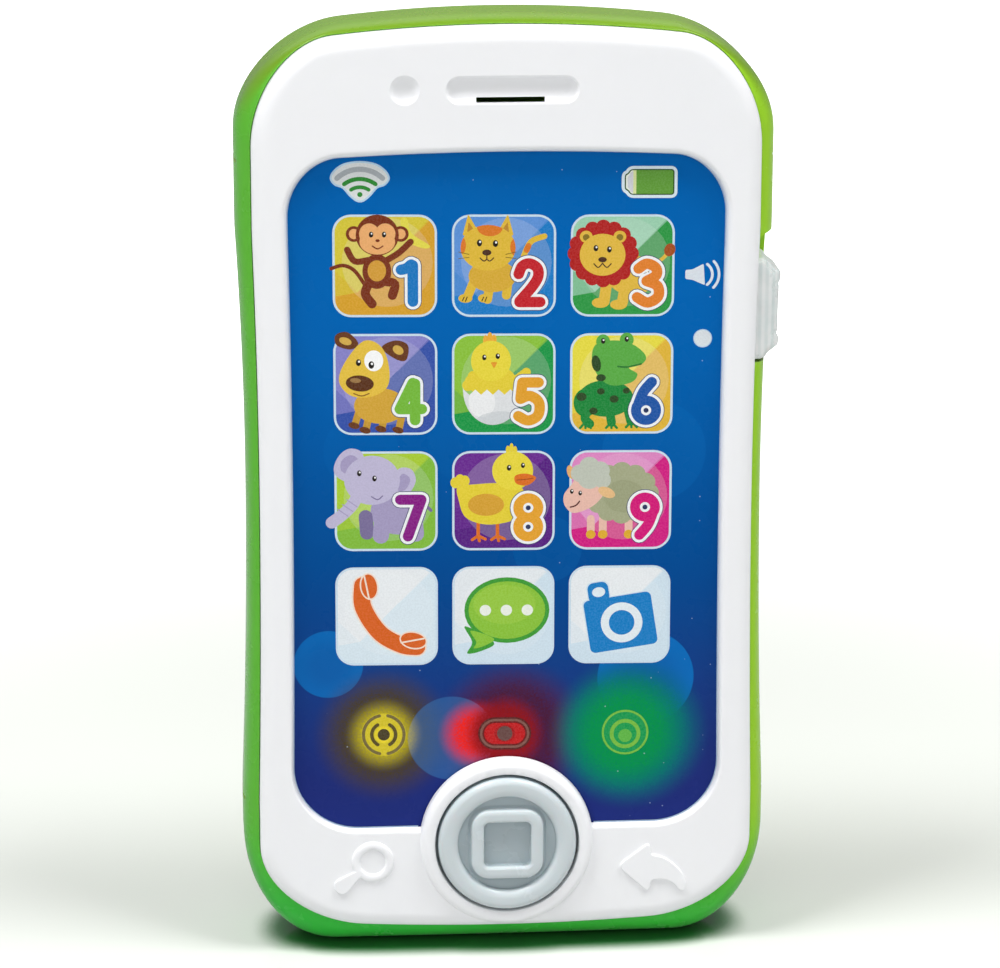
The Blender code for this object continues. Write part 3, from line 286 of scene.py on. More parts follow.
def frosted_plastic():
    """The translucent knob: milky, with soft darker bands of painted shade for the light that passes through
    it.
    """
    finish = Finish("frosted_plastic")
    # Painted shade: soft darker bands across the knob, then random cloudiness on top.
    painted_shade_bands = finish.math("SINE", finish.product(finish.axis("X"), 5600.0))
    shade = finish.spread(painted_shade_bands, -1.0, 1.0, 0.0, 0.35)
    painted_shade_and_cloud = finish.math("ADD", shade, finish.patchy(260.0, 3.0, 0.0, 0.3))
    colour = finish.mix(painted_shade_and_cloud, "f8fbfa", "cbd8d7")
    surface_detail(finish, 0.30, bump=0.05)
    return finish.set(Base_Color=colour, Transmission_Weight=0.10, IOR=1.46, Subsurface_Weight=0.35,
                      Subsurface_Scale=0.003, Subsurface_Radius=(0.8, 1.0, 1.0))


def circuit_board():
    """Green solder mask with paler copper tracks under it."""
    finish = Finish("circuit_board")
    cells = finish.add("ShaderNodeTexVoronoi", {"Vector": finish.coords, "Scale": 260.0},
                       feature="DISTANCE_TO_EDGE", distance="EUCLIDEAN")
    track = finish.spread(cells.outputs["Distance"], 0.05, 0.09, 1.0, 0.0)
    colour = finish.mix(track, "0c5a2a", "2c8a4c")
    surface_detail(finish, 0.38)
    finish.bump(track, 0.3, 0.00004)
    return finish.set(Base_Color=colour, Coat_Weight=0.4, Coat_Roughness=0.2)


def plated_steel():
    """Bright plating with fine streaks and uneven gloss."""
    finish = Finish("plated_steel")
    streaks = finish.noise(520.0, 6.0, 0.7)
    colour = finish.mix(streaks, "b9bcc0", "dcdde0")
    finish.bump(streaks, 0.15, 0.00005)
    return finish.set(Base_Color=colour, Metallic=1.0, Roughness=finish.patchy(300.0, 3.0, 0.18, 0.42))


def cell_steel():
    """The duller steel of the cells."""
    finish = Finish("cell_steel")
    colour = finish.mix(finish.noise(400.0, 4.0), "9a9da1", "cfd1d4")
    finish.bump(finish.noise(900.0, 3.0), 0.1, 0.00005)
    return finish.set(Base_Color=colour, Metallic=1.0, Roughness=0.3)


def lens(name, code):
    """A tinted clear lamp body that glows a little from inside."""
    finish = Finish(name)
    colour = finish.mix(finish.noise(500.0, 2.0), code, tuple(0.8 * c + 0.1 for c in rgb(code)))
    finish.bump(finish.noise(1500.0), 0.05, 0.00005)
    return finish.set(Base_Color=colour, Roughness=0.08, Transmission_Weight=0.4,
                      Emission_Color=code, Emission_Strength=0.6)


def paper_cone():
    """Black pressed paper with visible fibres."""
    finish = Finish("paper_cone")
    fibres = finish.noise(1800.0, 5.0, 0.8)
    finish.bump(fibres, 0.5, 0.0001)
    return finish.set(Base_Color=finish.mix(fibres, "1c1a19", "4a4541"), Roughness=0.85)


def foam_rubber():
    """Dark open foam."""
    finish = Finish("foam_rubber")
    pores = finish.add("ShaderNodeTexVoronoi", {"Vector": finish.coords, "Scale": 1500.0})
    finish.bump(pores.outputs["Distance"], 0.6, 0.0002)
    colour = finish.mix(pores.outputs["Distance"], "0e0e10", "34343a")
    return finish.set(Base_Color=colour, Roughness=0.95)


def film_ink():
    """The shared print finish: each printed shape carries its own colour, with a fine grain."""
    finish = Finish("film_ink")
    ink = finish.add("ShaderNodeAttribute", attribute_name="Ink").outputs["Color"]
    grain = finish.noise(3200.0, 2.0, 0.7)
    paler = finish.mix(0.025, ink, (1.0, 1.0, 1.0))
    deeper = finish.mix(0.93, (0.0, 0.0, 0.0), ink)
    colour = finish.mix(finish.spread(grain, 0.35, 0.65), deeper, paler)
    film_gloss(finish)
    return finish.set(Base_Color=colour)


def film_gloss(finish):
    """The smooth laminate over all of the print."""
    finish.bump(finish.noise(240.0, 2.0), 0.02, 0.0002)
    finish.set(Specular_IOR_Level=0.05, Roughness=finish.patchy(130.0, 4.0, 0.22, 0.34, rough=0.6))


# ================================================================ outlines

CORNER_STEPS = 22
END_STEPS = 10
SIDE_STEPS = 44
TURNS = 96
CAP_STEPS = 7


def half_width(shape, z):
    span = TOP_FLARE_SPAN if z > WAIST_Z else BOTTOM_FLARE_SPAN
    reach = min(abs(z - WAIST_Z) / span, 1.0)
    return shape.waist + shape.flare * reach * reach


def bow(radius, x):
    """How far an arc of the given radius has turned away from its middle at x."""
    return x * x / (2.0 * radius)


def corner_point(shape, size, centre_z, angle):
    """One point on a rounded corner; the angle is 90 degrees at the end and 0 at the side."""
    z = centre_z + size[1] * math.sin(angle)
    return half_width(shape, z) - size[0] * (1.0 - math.cos(angle)), z


def outline_points(shape):
    """The closed outline from the top centre clockwise."""
    top_centre = shape.top - shape.top_corner[1]
    bottom_centre = shape.bottom + shape.bottom_corner[1]
    top_reach = half_width(shape, shape.top) - shape.top_corner[0]
    bottom_reach = half_width(shape, shape.bottom) - shape.bottom_corner[0]
    right = []
    for step in range(END_STEPS):
        x = top_reach * step / END_STEPS
        right.append((x, shape.top - bow(shape.crown, x)))
    for step in range(CORNER_STEPS + 1):
        angle = 0.5 * math.pi * (1.0 - step / CORNER_STEPS)
        x, z = corner_point(shape, shape.top_corner, top_centre, angle)
        right.append((x, z - bow(shape.crown, x) * math.sin(angle)))
    for step in range(1, SIDE_STEPS):
        z = top_centre + (bottom_centre - top_centre) * step / SIDE_STEPS
        right.append((half_width(shape, z), z))
    for step in range(CORNER_STEPS + 1):
        angle = -0.5 * math.pi * step / CORNER_STEPS
        x, z = corner_point(shape, shape.bottom_corner, bottom_centre, angle)
        right.append((x, z - bow(shape.keel, x) * math.sin(angle)))
    for step in range(1, END_STEPS + 1):
        x = bottom_reach * (1.0 - step / END_STEPS)
        right.append((x, shape.bottom + bow(shape.keel, x)))
    left = [(-x, z) for x, z in reversed(right[1:-1])]
    return right + left


def grown(points, amount):
    """A clockwise outline moved outwards along its normals."""
    moved = []
    count = len(points)
    for index, (x, z) in enumerate(points):
        before = points[index - 1]
        after = points[(index + 1) % count]
        along = Vector((after[0] - before[0], after[1] - before[1])).normalized()
        moved.append((x - along[1] * amount, z + along[0] * amount))
    return moved


def between(first, second, share):
    """The point that lies a share of the way from one point to another."""
    return first[0] + (second[0] - first[0]) * share, first[1] + (second[1] - first[1]) * share


def quarter_turn(steps, first=0):
    """The angles of a quarter turn in even steps, in radians."""
    return [0.5 * math.pi * step / steps for step in range(first, steps + 1)]


def oval(x, z, wide, tall=None, steps=40, turn=0.0):
    """A circle or an ellipse, clockwise; the turn is in degrees."""
    tall = wide if tall is None else tall
    lean = math.radians(turn)
    points = []
    for step in range(steps):
        angle = 2.0 * math.pi * step / steps
        across = wide * math.sin(angle)
        up = tall * math.cos(angle)
        points.append((x + across * math.cos(lean) - up * math.sin(lean),
                       z + across * math.sin(lean) + up * math.cos(lean)))
    return points


def rounded_box(centre, size, radius, steps=8):
    """A rectangle with rounded corners, clockwise from its top right corner."""
    half_x = 0.5 * size[0] - radius
    half_z = 0.5 * size[1] - radius
    points = []
    for quarter, (sign_x, sign_z) in enumerate(((1, 1), (1, -1), (-1, -1), (-1, 1))):
        for step in range(steps + 1):
            angle = 0.5 * math.pi * (quarter + step / steps)
            points.append((centre[0] + sign_x * half_x + radius * math.sin(angle),
                           centre[1] + sign_z * half_z + radius * math.cos(angle)))
    return points


def rounded(points, radius, steps=5):
    """A polygon with each corner turned into a short curve."""
    soft = []
    count = len(points)
    for index, corner in enumerate(points):
        here = Vector(corner)
        back = Vector(points[index - 1]) - here
        ahead = Vector(points[(index + 1) % count]) - here
        start = here + back.normalized() * min(radius, 0.45 * back.length)
        end = here + ahead.normalized() * min(radius, 0.45 * ahead.length)
        for step in range(steps + 1):
            share = step / steps
            soft.append(tuple(start.lerp(here, share).lerp(here.lerp(end, share), share)))
    return soft


def smooth_line(points, steps=6, closed=False):
    """A curve through the points, which follows their own spacing."""
    count = len(points)
    places = [Vector(point) for point in points]
    curve = []
    for index in range(count if closed else count - 1):
        if closed:
            p0, p1, p2, p3 = (places[(index + shift) % count] for shift in (-1, 0, 1, 2))
        else:
            p0, p1 = places[max(index - 1, 0)], places[index]
            p2, p3 = places[index + 1], places[min(index + 2, count - 1)]
        for step in range(steps):
            t = step / steps
            curve.append(tuple(0.5 * (2.0 * p1 + (p2 - p0) * t + (2.0 * p0 - 5.0 * p1 + 4.0 * p2 - p3) * t * t
                                      + (3.0 * p1 - p0 - 3.0 * p2 + p3) * t ** 3)))
    if not closed:
        curve.append(tuple(places[-1]))
    return curve


def arc(x, z, radius, start, end, steps=14, tall=None):
    """Points on an arc; angles are in degrees, clockwise from straight up."""
    tall = radius if tall is None else tall
    points = []
    for step in range(steps + 1):
        angle = math.radians(start + (end - start) * step / steps)
        points.append((x + radius * math.sin(angle), z + tall * math.cos(angle)))
    return points


def ribbon(points, width):
    """The outline of a stroke with round ends along an open line."""
    half = 0.5 * width
    count = len(points)
    sides = ([], [])
    angles = []
    for index in range(count):
        before = Vector(points[max(index - 1, 0)])
        after = Vector(points[min(index + 1, count - 1)])
        along = (after - before).normalized()
        angles.append(math.atan2(along.y, along.x))
        normal = Vector((-along.y, along.x)) * half
        here = Vector(points[index])
        sides[0].append(tuple(here + normal))
        sides[1].append(tuple(here - normal))
    caps = []
    for end, base in ((points[-1], angles[-1] + 0.5 * math.pi), (points[0], angles[0] - 0.5 * math.pi)):
        turns = [base - math.pi * step / CAP_STEPS for step in range(1, CAP_STEPS)]
        caps.append([(end[0] + half * math.cos(angle), end[1] + half * math.sin(angle)) for angle in turns])
    return sides[0] + caps[0] + sides[1][::-1] + caps[1]


# ================================================================ meshes

def level(points, y):
    return [(x, y, z) for x, z in points]


def add_skin(mesh, rings, looped=False, capped=True):
    """Faces between a row of rings; a ring of one point closes to that point."""
    made = [[mesh.verts.new(point) for point in ring] for ring in rings]
    pairs = list(zip(made, made[1:]))
    if looped:
        pairs.append((made[-1], made[0]))
    for first, second in pairs:
        count = max(len(first), len(second))
        for i in range(count):
            corners = [first[(i - 1) % len(first)], first[i % len(first)],
                       second[i % len(second)], second[(i - 1) % len(second)]]
            mesh.faces.new(list(dict.fromkeys(corners)))
    if capped and not looped:
        for ring in (made[0], made[-1]):
            if len(ring) > 2:
                mesh.faces.new(ring)


def turned_rings(profile, centre=(0.0, 0.0, 0.0), axis="Y", steps=TURNS):
    """Rings round the Y or Z axis through the centre from (radius, height) points."""
    sideways = Vector((1.0, 0.0, 0.0))
    up, along = Vector((0.0, 0.0, 1.0)), Vector((0.0, 1.0, 0.0))
    if axis == "Z":
        up, along = along, up
    rings = []
    for radius, height in profile:
        base = Vector(centre) + along * height
        if radius < 1e-6:
            rings.append([tuple(base)])
            continue
        ring = []
        for step in range(steps):
            angle = 2.0 * math.pi * step / steps
            ring.append(tuple(base + (sideways * math.sin(angle) + up * math.cos(angle)) * radius))
        rings.append(ring)
    return rings


def solid(*bodies):
    """A bmesh of separate bodies, each a list of rings."""
    mesh = bmesh.new()
    for rings in bodies:
        add_skin(mesh, rings)
    return mesh


def prism(points, front, back):
    return [level(points, front), level(points, back)]


def box_rings(low, high):
    flat = [(low[0], low[2]), (low[0], high[2]), (high[0], high[2]), (high[0], low[2])]
    return prism(flat, low[1], high[1])


def square_rings(centre, size, corner, rows, steps):
    """Rings of a rounded square from (inset, y, corner loss) rows."""
    return [level(rounded_box(centre, (size - 2 * inset, size - 2 * inset), corner - loss, steps), y)
            for inset, y, loss in rows]


def data_from(mesh, name):
    bmesh.ops.remove_doubles(mesh, verts=mesh.verts, dist=1e-5)
    bmesh.ops.scale(mesh, vec=(MM, MM, MM), verts=mesh.verts)
    bmesh.ops.recalc_face_normals(mesh, faces=mesh.faces)
    data = bpy.data.meshes.new(name)
    mesh.to_mesh(data)
    mesh.free()
    return data


FEWEST_CORNERS_CUT = 5      # a Boolean's faces with this many corners or more are cut into triangles


def carve(data, steps):
    """Apply a row of Booleans, each given as (operation, bmesh), and return the new mesh."""
    work = bpy.data.objects.new("work", data)
    bpy.context.scene.collection.objects.link(work)
    for operation, tool_mesh in steps:
        tool = bpy.data.objects.new("tool", data_from(tool_mesh, "tool"))
        bpy.context.scene.collection.objects.link(tool)
        change = work.modifiers.new("Boolean", "BOOLEAN")
        change.operation = operation
        change.solver = "EXACT"
        change.object = tool
        work.modifiers.new("Triangles", "TRIANGULATE").min_vertices = FEWEST_CORNERS_CUT
        bpy.context.view_layer.update()
        shaped = bpy.data.meshes.new_from_object(
            work.evaluated_get(bpy.context.evaluated_depsgraph_get()))
        work.modifiers.clear()
        work.data = shaped
        bpy.data.objects.remove(tool)
    shaped = work.data
    bpy.data.objects.remove(work)
    return shaped


def show(name, data, finishes, body, replaced=(), angle=32.0, weighted=True):
    """Make a visible piece: smooth shading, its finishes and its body."""
    piece = bpy.data.objects.new(name, data)
    data.name = name
    bpy.context.scene.collection.objects.link(piece)
    data.materials.clear()
    for finish in finishes:
        data.materials.append(finish)
    data.shade_smooth()
    data.set_sharp_from_angle(angle=math.radians(angle))
    if weighted:
        even = piece.modifiers.new("Even shading", "WEIGHTED_NORMAL")
        even.keep_sharp = True
        even.weight = 80
    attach(piece, body)
    if replaced:
        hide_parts(*replaced)
    return piece


# ================================================================ rear shell

GROOVE_LEVELS = (134.8, 25.9)
GROOVE_DEPTH = 0.35
GROOVE_MOUTH, GROOVE_FLARE = 0.22, 2.4
SLOT_ROWS = 3
SLOT_PITCH = 3.0
SLOT_REACH = 11.0
SLOT_TALL = 1.5
KNOB_TRAVEL = 3.0
KNOB_END_GAP = 0.9
CELL_NODES = ("battery_cell_1", "battery_cell_2", "battery_cell_3")
CASE_SCREW_NODES = ("case_screw_1", "case_screw_2", "case_screw_3", "case_screw_4")
BAY_LOW = Vector((-18.0, 0.2, 37.0))
BAY_HIGH = Vector((18.0, BACK + 2.0, 89.0))
BAY_WALL = 1.5
DOOR_CORNER = 5.0
DOOR_AXIS = (0.0, 0.0, DOOR_SCREW.z)
BACK_ROUND = 9.0
INNER_ROUND = 8.0


def tub_loops():
    """The tub's outer loops from the rim to the flat back, and its inner loops from there to the rim."""
    rim = grown(outline_points(BEZEL), SEAM)
    widest = outline_points(SHELL)
    outer = [level(rim, RIM_FRONT + 0.25), level(grown(rim, 0.12), RIM_FRONT)]
    for step in range(1, 13):
        angle = math.radians(7.5 * step)
        y = RIM_FRONT + (BAND_FRONT - RIM_FRONT) * (1.0 - math.cos(angle))
        share = math.sin(angle)
        outer.append(level([between(*pair, share) for pair in zip(grown(rim, 0.12), widest)], y))
    for step in range(19):
        angle = math.radians(5.0 * step)
        inset = BACK_ROUND * (1.0 - math.cos(angle))
        outer.append(level(grown(widest, -inset), BAND_BACK + (BACK - BAND_BACK) * math.sin(angle)))
    inner = []
    for step in range(9):
        angle = math.radians(90.0 - 11.25 * step)
        inset = WALL + INNER_ROUND * (1.0 - math.cos(angle))
        y = BAND_BACK + (INNER_BACK - BAND_BACK) * math.sin(angle)
        inner.append(level(grown(widest, -inset), y))
    inner.append(level(grown(widest, -WALL), BAND_FRONT - 1.0))
    ledge = grown(outline_points(BEZEL), -1.4)
    inner += [level(ledge, RIM_FRONT + 3.0), level(ledge, RIM_FRONT + 2.0),
              level(rim, RIM_FRONT + 2.0)]
    return outer, inner


def tub_mesh():
    outer, inner = tub_loops()
    mesh = bmesh.new()
    add_skin(mesh, outer, capped=False)
    add_skin(mesh, inner, capped=False)
    add_skin(mesh, [inner[-1], outer[0]], capped=False)
    for floor in (outer[-1], inner[0]):
        mesh.faces.new([mesh.verts.new(point) for point in floor])
    return data_from(mesh, "tub")


def groove_cutters():
    """Thin lines moulded across each side, above and below the grip."""
    bodies = []
    for z in GROOVE_LEVELS:
        for side in (-1.0, 1.0):
            inner = side * (half_width(SHELL, z) - GROOVE_DEPTH)
            outer = side * (half_width(SHELL, z) + 3.0)
            flat = [(inner, z - GROOVE_MOUTH), (inner, z + GROOVE_MOUTH), (outer, z + GROOVE_FLARE),
                    (outer, z - GROOVE_FLARE)]
            bodies.append(prism(flat if side > 0 else flat[::-1], RIM_FRONT - 2.0, 5.0))
    return solid(*bodies)


def flared_plate(points, floor, lip):
    """A cutter through the flat back whose last part opens out into a soft lip."""
    rows = ((0.35, BACK - 0.3 * lip), (0.75, BACK), (0.9, BACK + 0.4), (0.9, BACK + 2.0))
    return [level(points, floor), level(points, BACK - lip)] + [
        level(grown(points, share * lip), y) for share, y in rows]


def door_outline(growth=0.0):
    size = (DOOR_HIGH.x - DOOR_LOW.x, DOOR_HIGH.z - DOOR_LOW.z)
    centre = (0.5 * (DOOR_HIGH.x + DOOR_LOW.x), 0.5 * (DOOR_HIGH.z + DOOR_LOW.z))
    return grown(rounded_box(centre, size, DOOR_CORNER), growth)


def well_profile(radius, floor, pilot):
    """A screw's well in the back: a pilot hole, a seat for the head and a soft mouth."""
    return [(0.0, floor - 9.0), (pilot, floor - 9.0), (pilot, floor), (radius, floor), (radius, BACK - 0.4),
            (radius + 0.12, BACK - 0.12), (radius + 0.35, BACK), (radius + 0.5, BACK + 2.0),
            (0.0, BACK + 2.0)]


def pocket_cutter():
    """The knob's pocket: its floor follows the bezel's edge and curls out above the knob."""
    curl = 3.0
    low = KNOB_LOW.z + KNOB_END_GAP - 0.12
    high = KNOB_HIGH.z + KNOB_TRAVEL - KNOB_END_GAP
    flat = []
    for step in range(9):
        z = low + (high - low) * step / 8
        flat.append((half_width(BEZEL, z) + SEAM - 0.1, z))
    floor = flat[-1][0]
    for step in range(1, 8):
        angle = 0.5 * math.pi * step / 8
        flat.append((floor + curl * (1.0 - math.cos(angle)), high + 1.7 * math.sin(angle)))
    flat += [(floor + curl + 0.4, high + 2.0), (floor + 10.0, high + 3.4), (floor + 10.0, low)]
    return prism(flat, RIM_FRONT - 0.4, KNOB_HIGH.y + GAP)


def screw_boss(axis, radius, front, back):
    """A plain round post for a screw."""
    return turned_rings([(0.0, front), (radius, front), (radius, back), (0.0, back)], axis, steps=40)


def speaker_slots():
    """Slots that fill a circle behind the speaker."""
    slots = []
    for row in range(-SLOT_ROWS, SLOT_ROWS + 1):
        reach = math.sqrt(SLOT_REACH ** 2 - (SLOT_PITCH * row) ** 2)
        centre = (SPEAKER.x, SPEAKER.z + SLOT_PITCH * row)
        points = rounded_box(centre, (2.0 * reach, SLOT_TALL), 0.5 * SLOT_TALL - 0.01, 6)
        slots.append(flared_plate(points, INNER_BACK - 1.0, 0.3))
    return slots


def make_rear_shell(finish):
    """The green tub with its battery bay, screw posts, door recess, slots and the knob's pocket."""
    axes = [(middle(node).x, 0.0, middle(node).z) for node in CASE_SCREW_NODES]
    tray = box_rings(BAY_LOW - Vector((BAY_WALL, BAY_WALL, BAY_WALL)),
                     (BAY_HIGH.x + BAY_WALL, INNER_BACK + 0.5, BAY_HIGH.z + BAY_WALL))
    frame_plate = prism(door_outline(2.0), BACK - 3.7, INNER_BACK + 0.7)
    bosses = [screw_boss(DOOR_AXIS, 5.6, 1.5, INNER_BACK + 0.9)]
    bosses += [screw_boss(axis, 4.8, -4.9, INNER_BACK + 0.8) for axis in axes]
    neck_wall = box_rings((38.9, -7.0, 97.0), (KNOB_HIGH.x - 3.2, 2.0, 125.0))
    recess = [level(door_outline(GAP + lip), BACK + rise)
              for lip, rise in ((0.0, -1.7), (0.0, -0.25), (0.1, -0.07), (0.3, 0.0), (0.3, 2.0))]
    wells = [turned_rings([(0.0, 3.0), (1.5, 3.0), (1.5, 9.6), (4.4, 9.6), (4.4, BACK + 2.0),
                           (0.0, BACK + 2.0)], DOOR_AXIS, steps=48)]
    wells += [turned_rings(well_profile(3.3, 6.0, 1.7), axis, steps=48) for axis in axes]
    neck = box_rings((37.0, -5.7, 104.1), (KNOB_HIGH.x - 2.0, -2.7, 116.7))
    data = carve(tub_mesh(), (
        ("UNION", solid(tray)), ("UNION", solid(frame_plate)), ("UNION", solid(*bosses)),
        ("UNION", solid(neck_wall)), ("DIFFERENCE", solid(box_rings(BAY_LOW, BAY_HIGH))),
        ("DIFFERENCE", solid(recess)), ("DIFFERENCE", solid(*wells)),
        ("DIFFERENCE", solid(*speaker_slots())),
        ("DIFFERENCE", groove_cutters()), ("DIFFERENCE", solid(pocket_cutter())),
        ("DIFFERENCE", solid(neck))))
    return show("rear_shell_skin", data, [finish], "casing", ["rear_shell"])


# ================================================================ front bezel

RING_OUTER_R = 14.6
RING_INNER_R = 12.1
RING_ROUND, RING_DROP = 1.25, 1.5
CHIN_LIFT = 0.38
WINDOW_LIP = 0.25
SLOPE_NARROW, SLOPE_WIDE = 0.35, 0.95
SLOPE_START, SLOPE_SPAN = 8.0, 30.0
EDGE_ROUND, EDGE_DROP = 2.6, 1.7
FLAT_FROM_SLOPE, FLAT_FROM_EDGE = 0.4, 0.2      # where loops keep the flat face's shading level
MAGNIFIER = (-22.6, 15.9)
REPLY_ARROW = (24.0, 14.6)


def window_slope(window, reach, angle):
    """One loop of the slope round the window, narrow at the foot and wide further up."""
    narrow = grown(window, reach + SLOPE_NARROW * (1.0 - math.cos(angle)))
    wide = grown(window, reach + SLOPE_WIDE * (1.0 - math.cos(angle)))
    slope = []
    for inner, outer, (_, z) in zip(narrow, wide, window):
        share = min(1.0, max(0.0, (z - WINDOW.bottom - SLOPE_START) / SLOPE_SPAN))
        slope.append(between(inner, outer, share))
    foot = FACE_BACK - WINDOW_LIP
    return level(slope, foot - (foot - FACE_FRONT) * math.sin(angle))


def bezel_loops():
    """The face's cross-section, once round from the window's edge and back to it."""
    window = outline_points(WINDOW)
    edge = grown(outline_points(BEZEL), SEAM - 0.04)
    loops = [level(window, FACE_BACK), level(grown(window, 0.04), FACE_BACK - WINDOW_LIP)]
    for step, angle in enumerate(quarter_turn(8, 1), start=1):
        loops.append(window_slope(window, 0.06 + 0.12 * step / 8, angle))
    loops.append(window_slope(window, FLAT_FROM_SLOPE, 0.5 * math.pi))
    loops.append(level(grown(edge, -EDGE_ROUND - FLAT_FROM_EDGE), FACE_FRONT))
    for angle in quarter_turn(12):
        inset = EDGE_ROUND * (1.0 - math.sin(angle))
        loops.append(level(grown(edge, -inset), FACE_FRONT + EDGE_DROP * (1.0 - math.cos(angle))))
    loops += [level(edge, SKIRT_BACK - 0.3), level(grown(edge, -0.3), SKIRT_BACK),
              level(grown(edge, -1.8), SKIRT_BACK), level(grown(edge, -1.8), FACE_BACK)]
    return loops


def raised_sign(points):
    """A low moulded sign with soft shoulders, sunk slightly into the face."""
    loops = [level(points, FACE_FRONT + 0.5), level(grown(points, 0.06), FACE_FRONT - 0.04)]
    for angle in quarter_turn(5):
        inset = 0.02 + 0.16 * (1.0 - math.cos(angle))
        height = 0.06 + (CHIN_LIFT - 0.06) * math.sin(angle)
        loops.append(level(grown(points, -inset), FACE_FRONT - height))
    loops.append(level(grown(points, -0.26), FACE_FRONT - CHIN_LIFT))
    return loops


def magnifier_parts():
    """A round lens rim and its tapered handle."""
    x, z = MAGNIFIER
    rim = [(2.15, FACE_FRONT + 0.5), (3.55, FACE_FRONT + 0.5), (3.6, FACE_FRONT - 0.04)]
    for step in range(13):
        angle = math.pi * step / 12
        rim.append((2.85 + 0.68 * math.cos(angle), FACE_FRONT - 0.1 - (CHIN_LIFT - 0.1) * math.sin(angle)))
    rim.append((2.1, FACE_FRONT - 0.04))
    lean = math.radians(231.0)
    near = (x + 3.0 * math.sin(lean), z + 3.0 * math.cos(lean))
    far = (x + 6.6 * math.sin(lean), z + 6.6 * math.cos(lean))
    handle = arc(*near, 0.65, 321.0, 501.0, 6) + arc(*far, 1.45, 141.0, 321.0, 14)
    return rim, (x, 0.0, z), handle


def arrow_points():
    """A bent arrow that points left, with a tail that curves down to the right."""
    x, z = REPLY_ARROW
    outer = smooth_line([(x + 0.5, z + 1.5), (x + 2.7, z + 0.9), (x + 4.7, z - 0.6), (x + 6.0, z - 2.4),
                         (x + 6.5, z - 4.0)], 3)
    inner = smooth_line([(x + 4.7, z - 4.2), (x + 3.4, z - 3.3), (x + 1.9, z - 3.0), (x + 0.6, z - 3.2)], 3)
    corners = [(x - 5.3, z - 0.4), (x + 0.2, z + 3.8), *outer, (x + 6.3, z - 5.2), (x + 5.2, z - 5.1), *inner,
               (x + 0.1, z - 5.4)]
    return rounded(corners, 1.4, 5)


def scoop_rings(centre):
    """The earpiece hollow: a steep upper wall and a floor that slopes out towards the bottom."""
    width, height = 21.2, 4.2
    rings = [level(rounded_box(centre, (width + lip, height + lip), 0.5 * height + corner, 12), y)
             for lip, corner, y in ((0.9, 0.44, FACE_FRONT - 1.0), (0.5, 0.24, FACE_FRONT))]
    for angle in quarter_turn(8):
        sink = 0.2 + 0.83 * math.sin(angle)
        top_in = 0.55 * (1.0 - math.cos(angle))
        low_in = 2.3 * (1.0 - math.cos(angle)) + 0.25 * math.sin(angle)
        side_in = 2.0 * (1.0 - math.cos(angle))
        tall = height - top_in - low_in
        place = (centre[0], centre[1] + 0.5 * (low_in - top_in))
        rings.append(level(rounded_box(place, (width - 2.0 * side_in, tall), 0.5 * tall - 0.01, 12),
                           FACE_FRONT + sink))
    return rings


def collar_rings():
    """The round collar that stands up round the home button, as a solid disc."""
    foot = FACE_BACK - 0.05
    collar = [(0.0, foot), (RING_OUTER_R, foot), (RING_OUTER_R, RING_FRONT + RING_DROP)]
    for angle in quarter_turn(10, 1):
        collar.append((RING_OUTER_R - RING_ROUND * (1.0 - math.cos(angle)),
                       RING_FRONT + RING_DROP - RING_DROP * math.sin(angle)))
    collar.append((0.0, RING_FRONT))
    return turned_rings(collar, HOME_AXIS, steps=160)


def button_hole_rings():
    """The hole through the collar, with a softly rounded mouth."""
    hole = [(0.0, FACE_BACK + 2.2), (RING_INNER_R, FACE_BACK + 2.2)]
    for growth, rise in ((0.0, 0.4), (0.1, 0.14), (0.35, 0.0), (0.5, -0.3), (0.5, -3.0)):
        hole.append((RING_INNER_R + growth, RING_FRONT + rise))
    hole.append((0.0, RING_FRONT - 3.0))
    return turned_rings(hole, HOME_AXIS, steps=160)


def dimple_rings():
    """The small round hollow to the left of the earpiece."""
    dimple = [(0.0, FACE_FRONT - 1.0), (2.7, FACE_FRONT - 1.0), (2.45, FACE_FRONT), (2.25, FACE_FRONT + 0.15)]
    for angle in quarter_turn(8, 1)[:-1]:
        dimple.append((2.15 * math.cos(angle), FACE_FRONT + 0.1 + 0.75 * math.sin(angle)))
    dimple.append((0.0, FACE_FRONT + 0.1 + 0.75))
    return turned_rings(dimple, (-16.7, 0.0, BEZEL.top - 9.8), steps=64)


def make_front_bezel(finish):
    """The white face with its collar, chin signs, dimple and earpiece."""
    mesh = bmesh.new()
    add_skin(mesh, bezel_loops(), looped=True)
    rim, rim_centre, handle = magnifier_parts()
    magnifier = bmesh.new()
    add_skin(magnifier, turned_rings(rim, rim_centre), looped=True)
    ear = (0.7, BEZEL.top - 9.9)
    slot = rounded_box((ear[0] - 0.3, ear[1] - 1.72), (11.1, 0.9), 0.15, 3)
    data = carve(data_from(mesh, "face"), (
        ("UNION", solid(collar_rings())),
        ("UNION", magnifier),
        ("UNION", solid(raised_sign(handle), raised_sign(arrow_points()))),
        ("DIFFERENCE", solid(button_hole_rings())),
        ("DIFFERENCE", solid(dimple_rings(), scoop_rings(ear))),
        ("DIFFERENCE", solid(prism(slot, FACE_FRONT - 0.5, FACE_BACK + 1.0)))))
    return show("front_bezel_skin", data, [finish], "casing", ["front_bezel"])


# ================================================================ screen film

# Out-of-focus discs on the print: x, z, radius, strength.
BOKEH = ((-24.0, 86.8, 6.2, 0.10), (-29.7, 50.3, 5.8, 0.70), (6.8, 69.5, 5.7, 0.16),
         (24.4, 86.0, 8.6, 0.20), (23.4, 46.9, 8.1, 0.80), (-12.0, 128.0, 9.0, 0.05),
         (13.0, 108.0, 8.5, 0.06), (-6.0, 88.0, 7.0, 0.07), (30.0, 118.0, 6.0, 0.05))
NEAR_DISC = (-9.2, 36.9, 7.3)
LAMPS = {"yellow": middle("led_yellow"), "red": middle("led_red"), "green": middle("led_green")}
LAMP_SHIFT = -0.25
LAMP_RISE = 0.12
PRINT_SKEW = 0.013
OPENING_R = 13.8
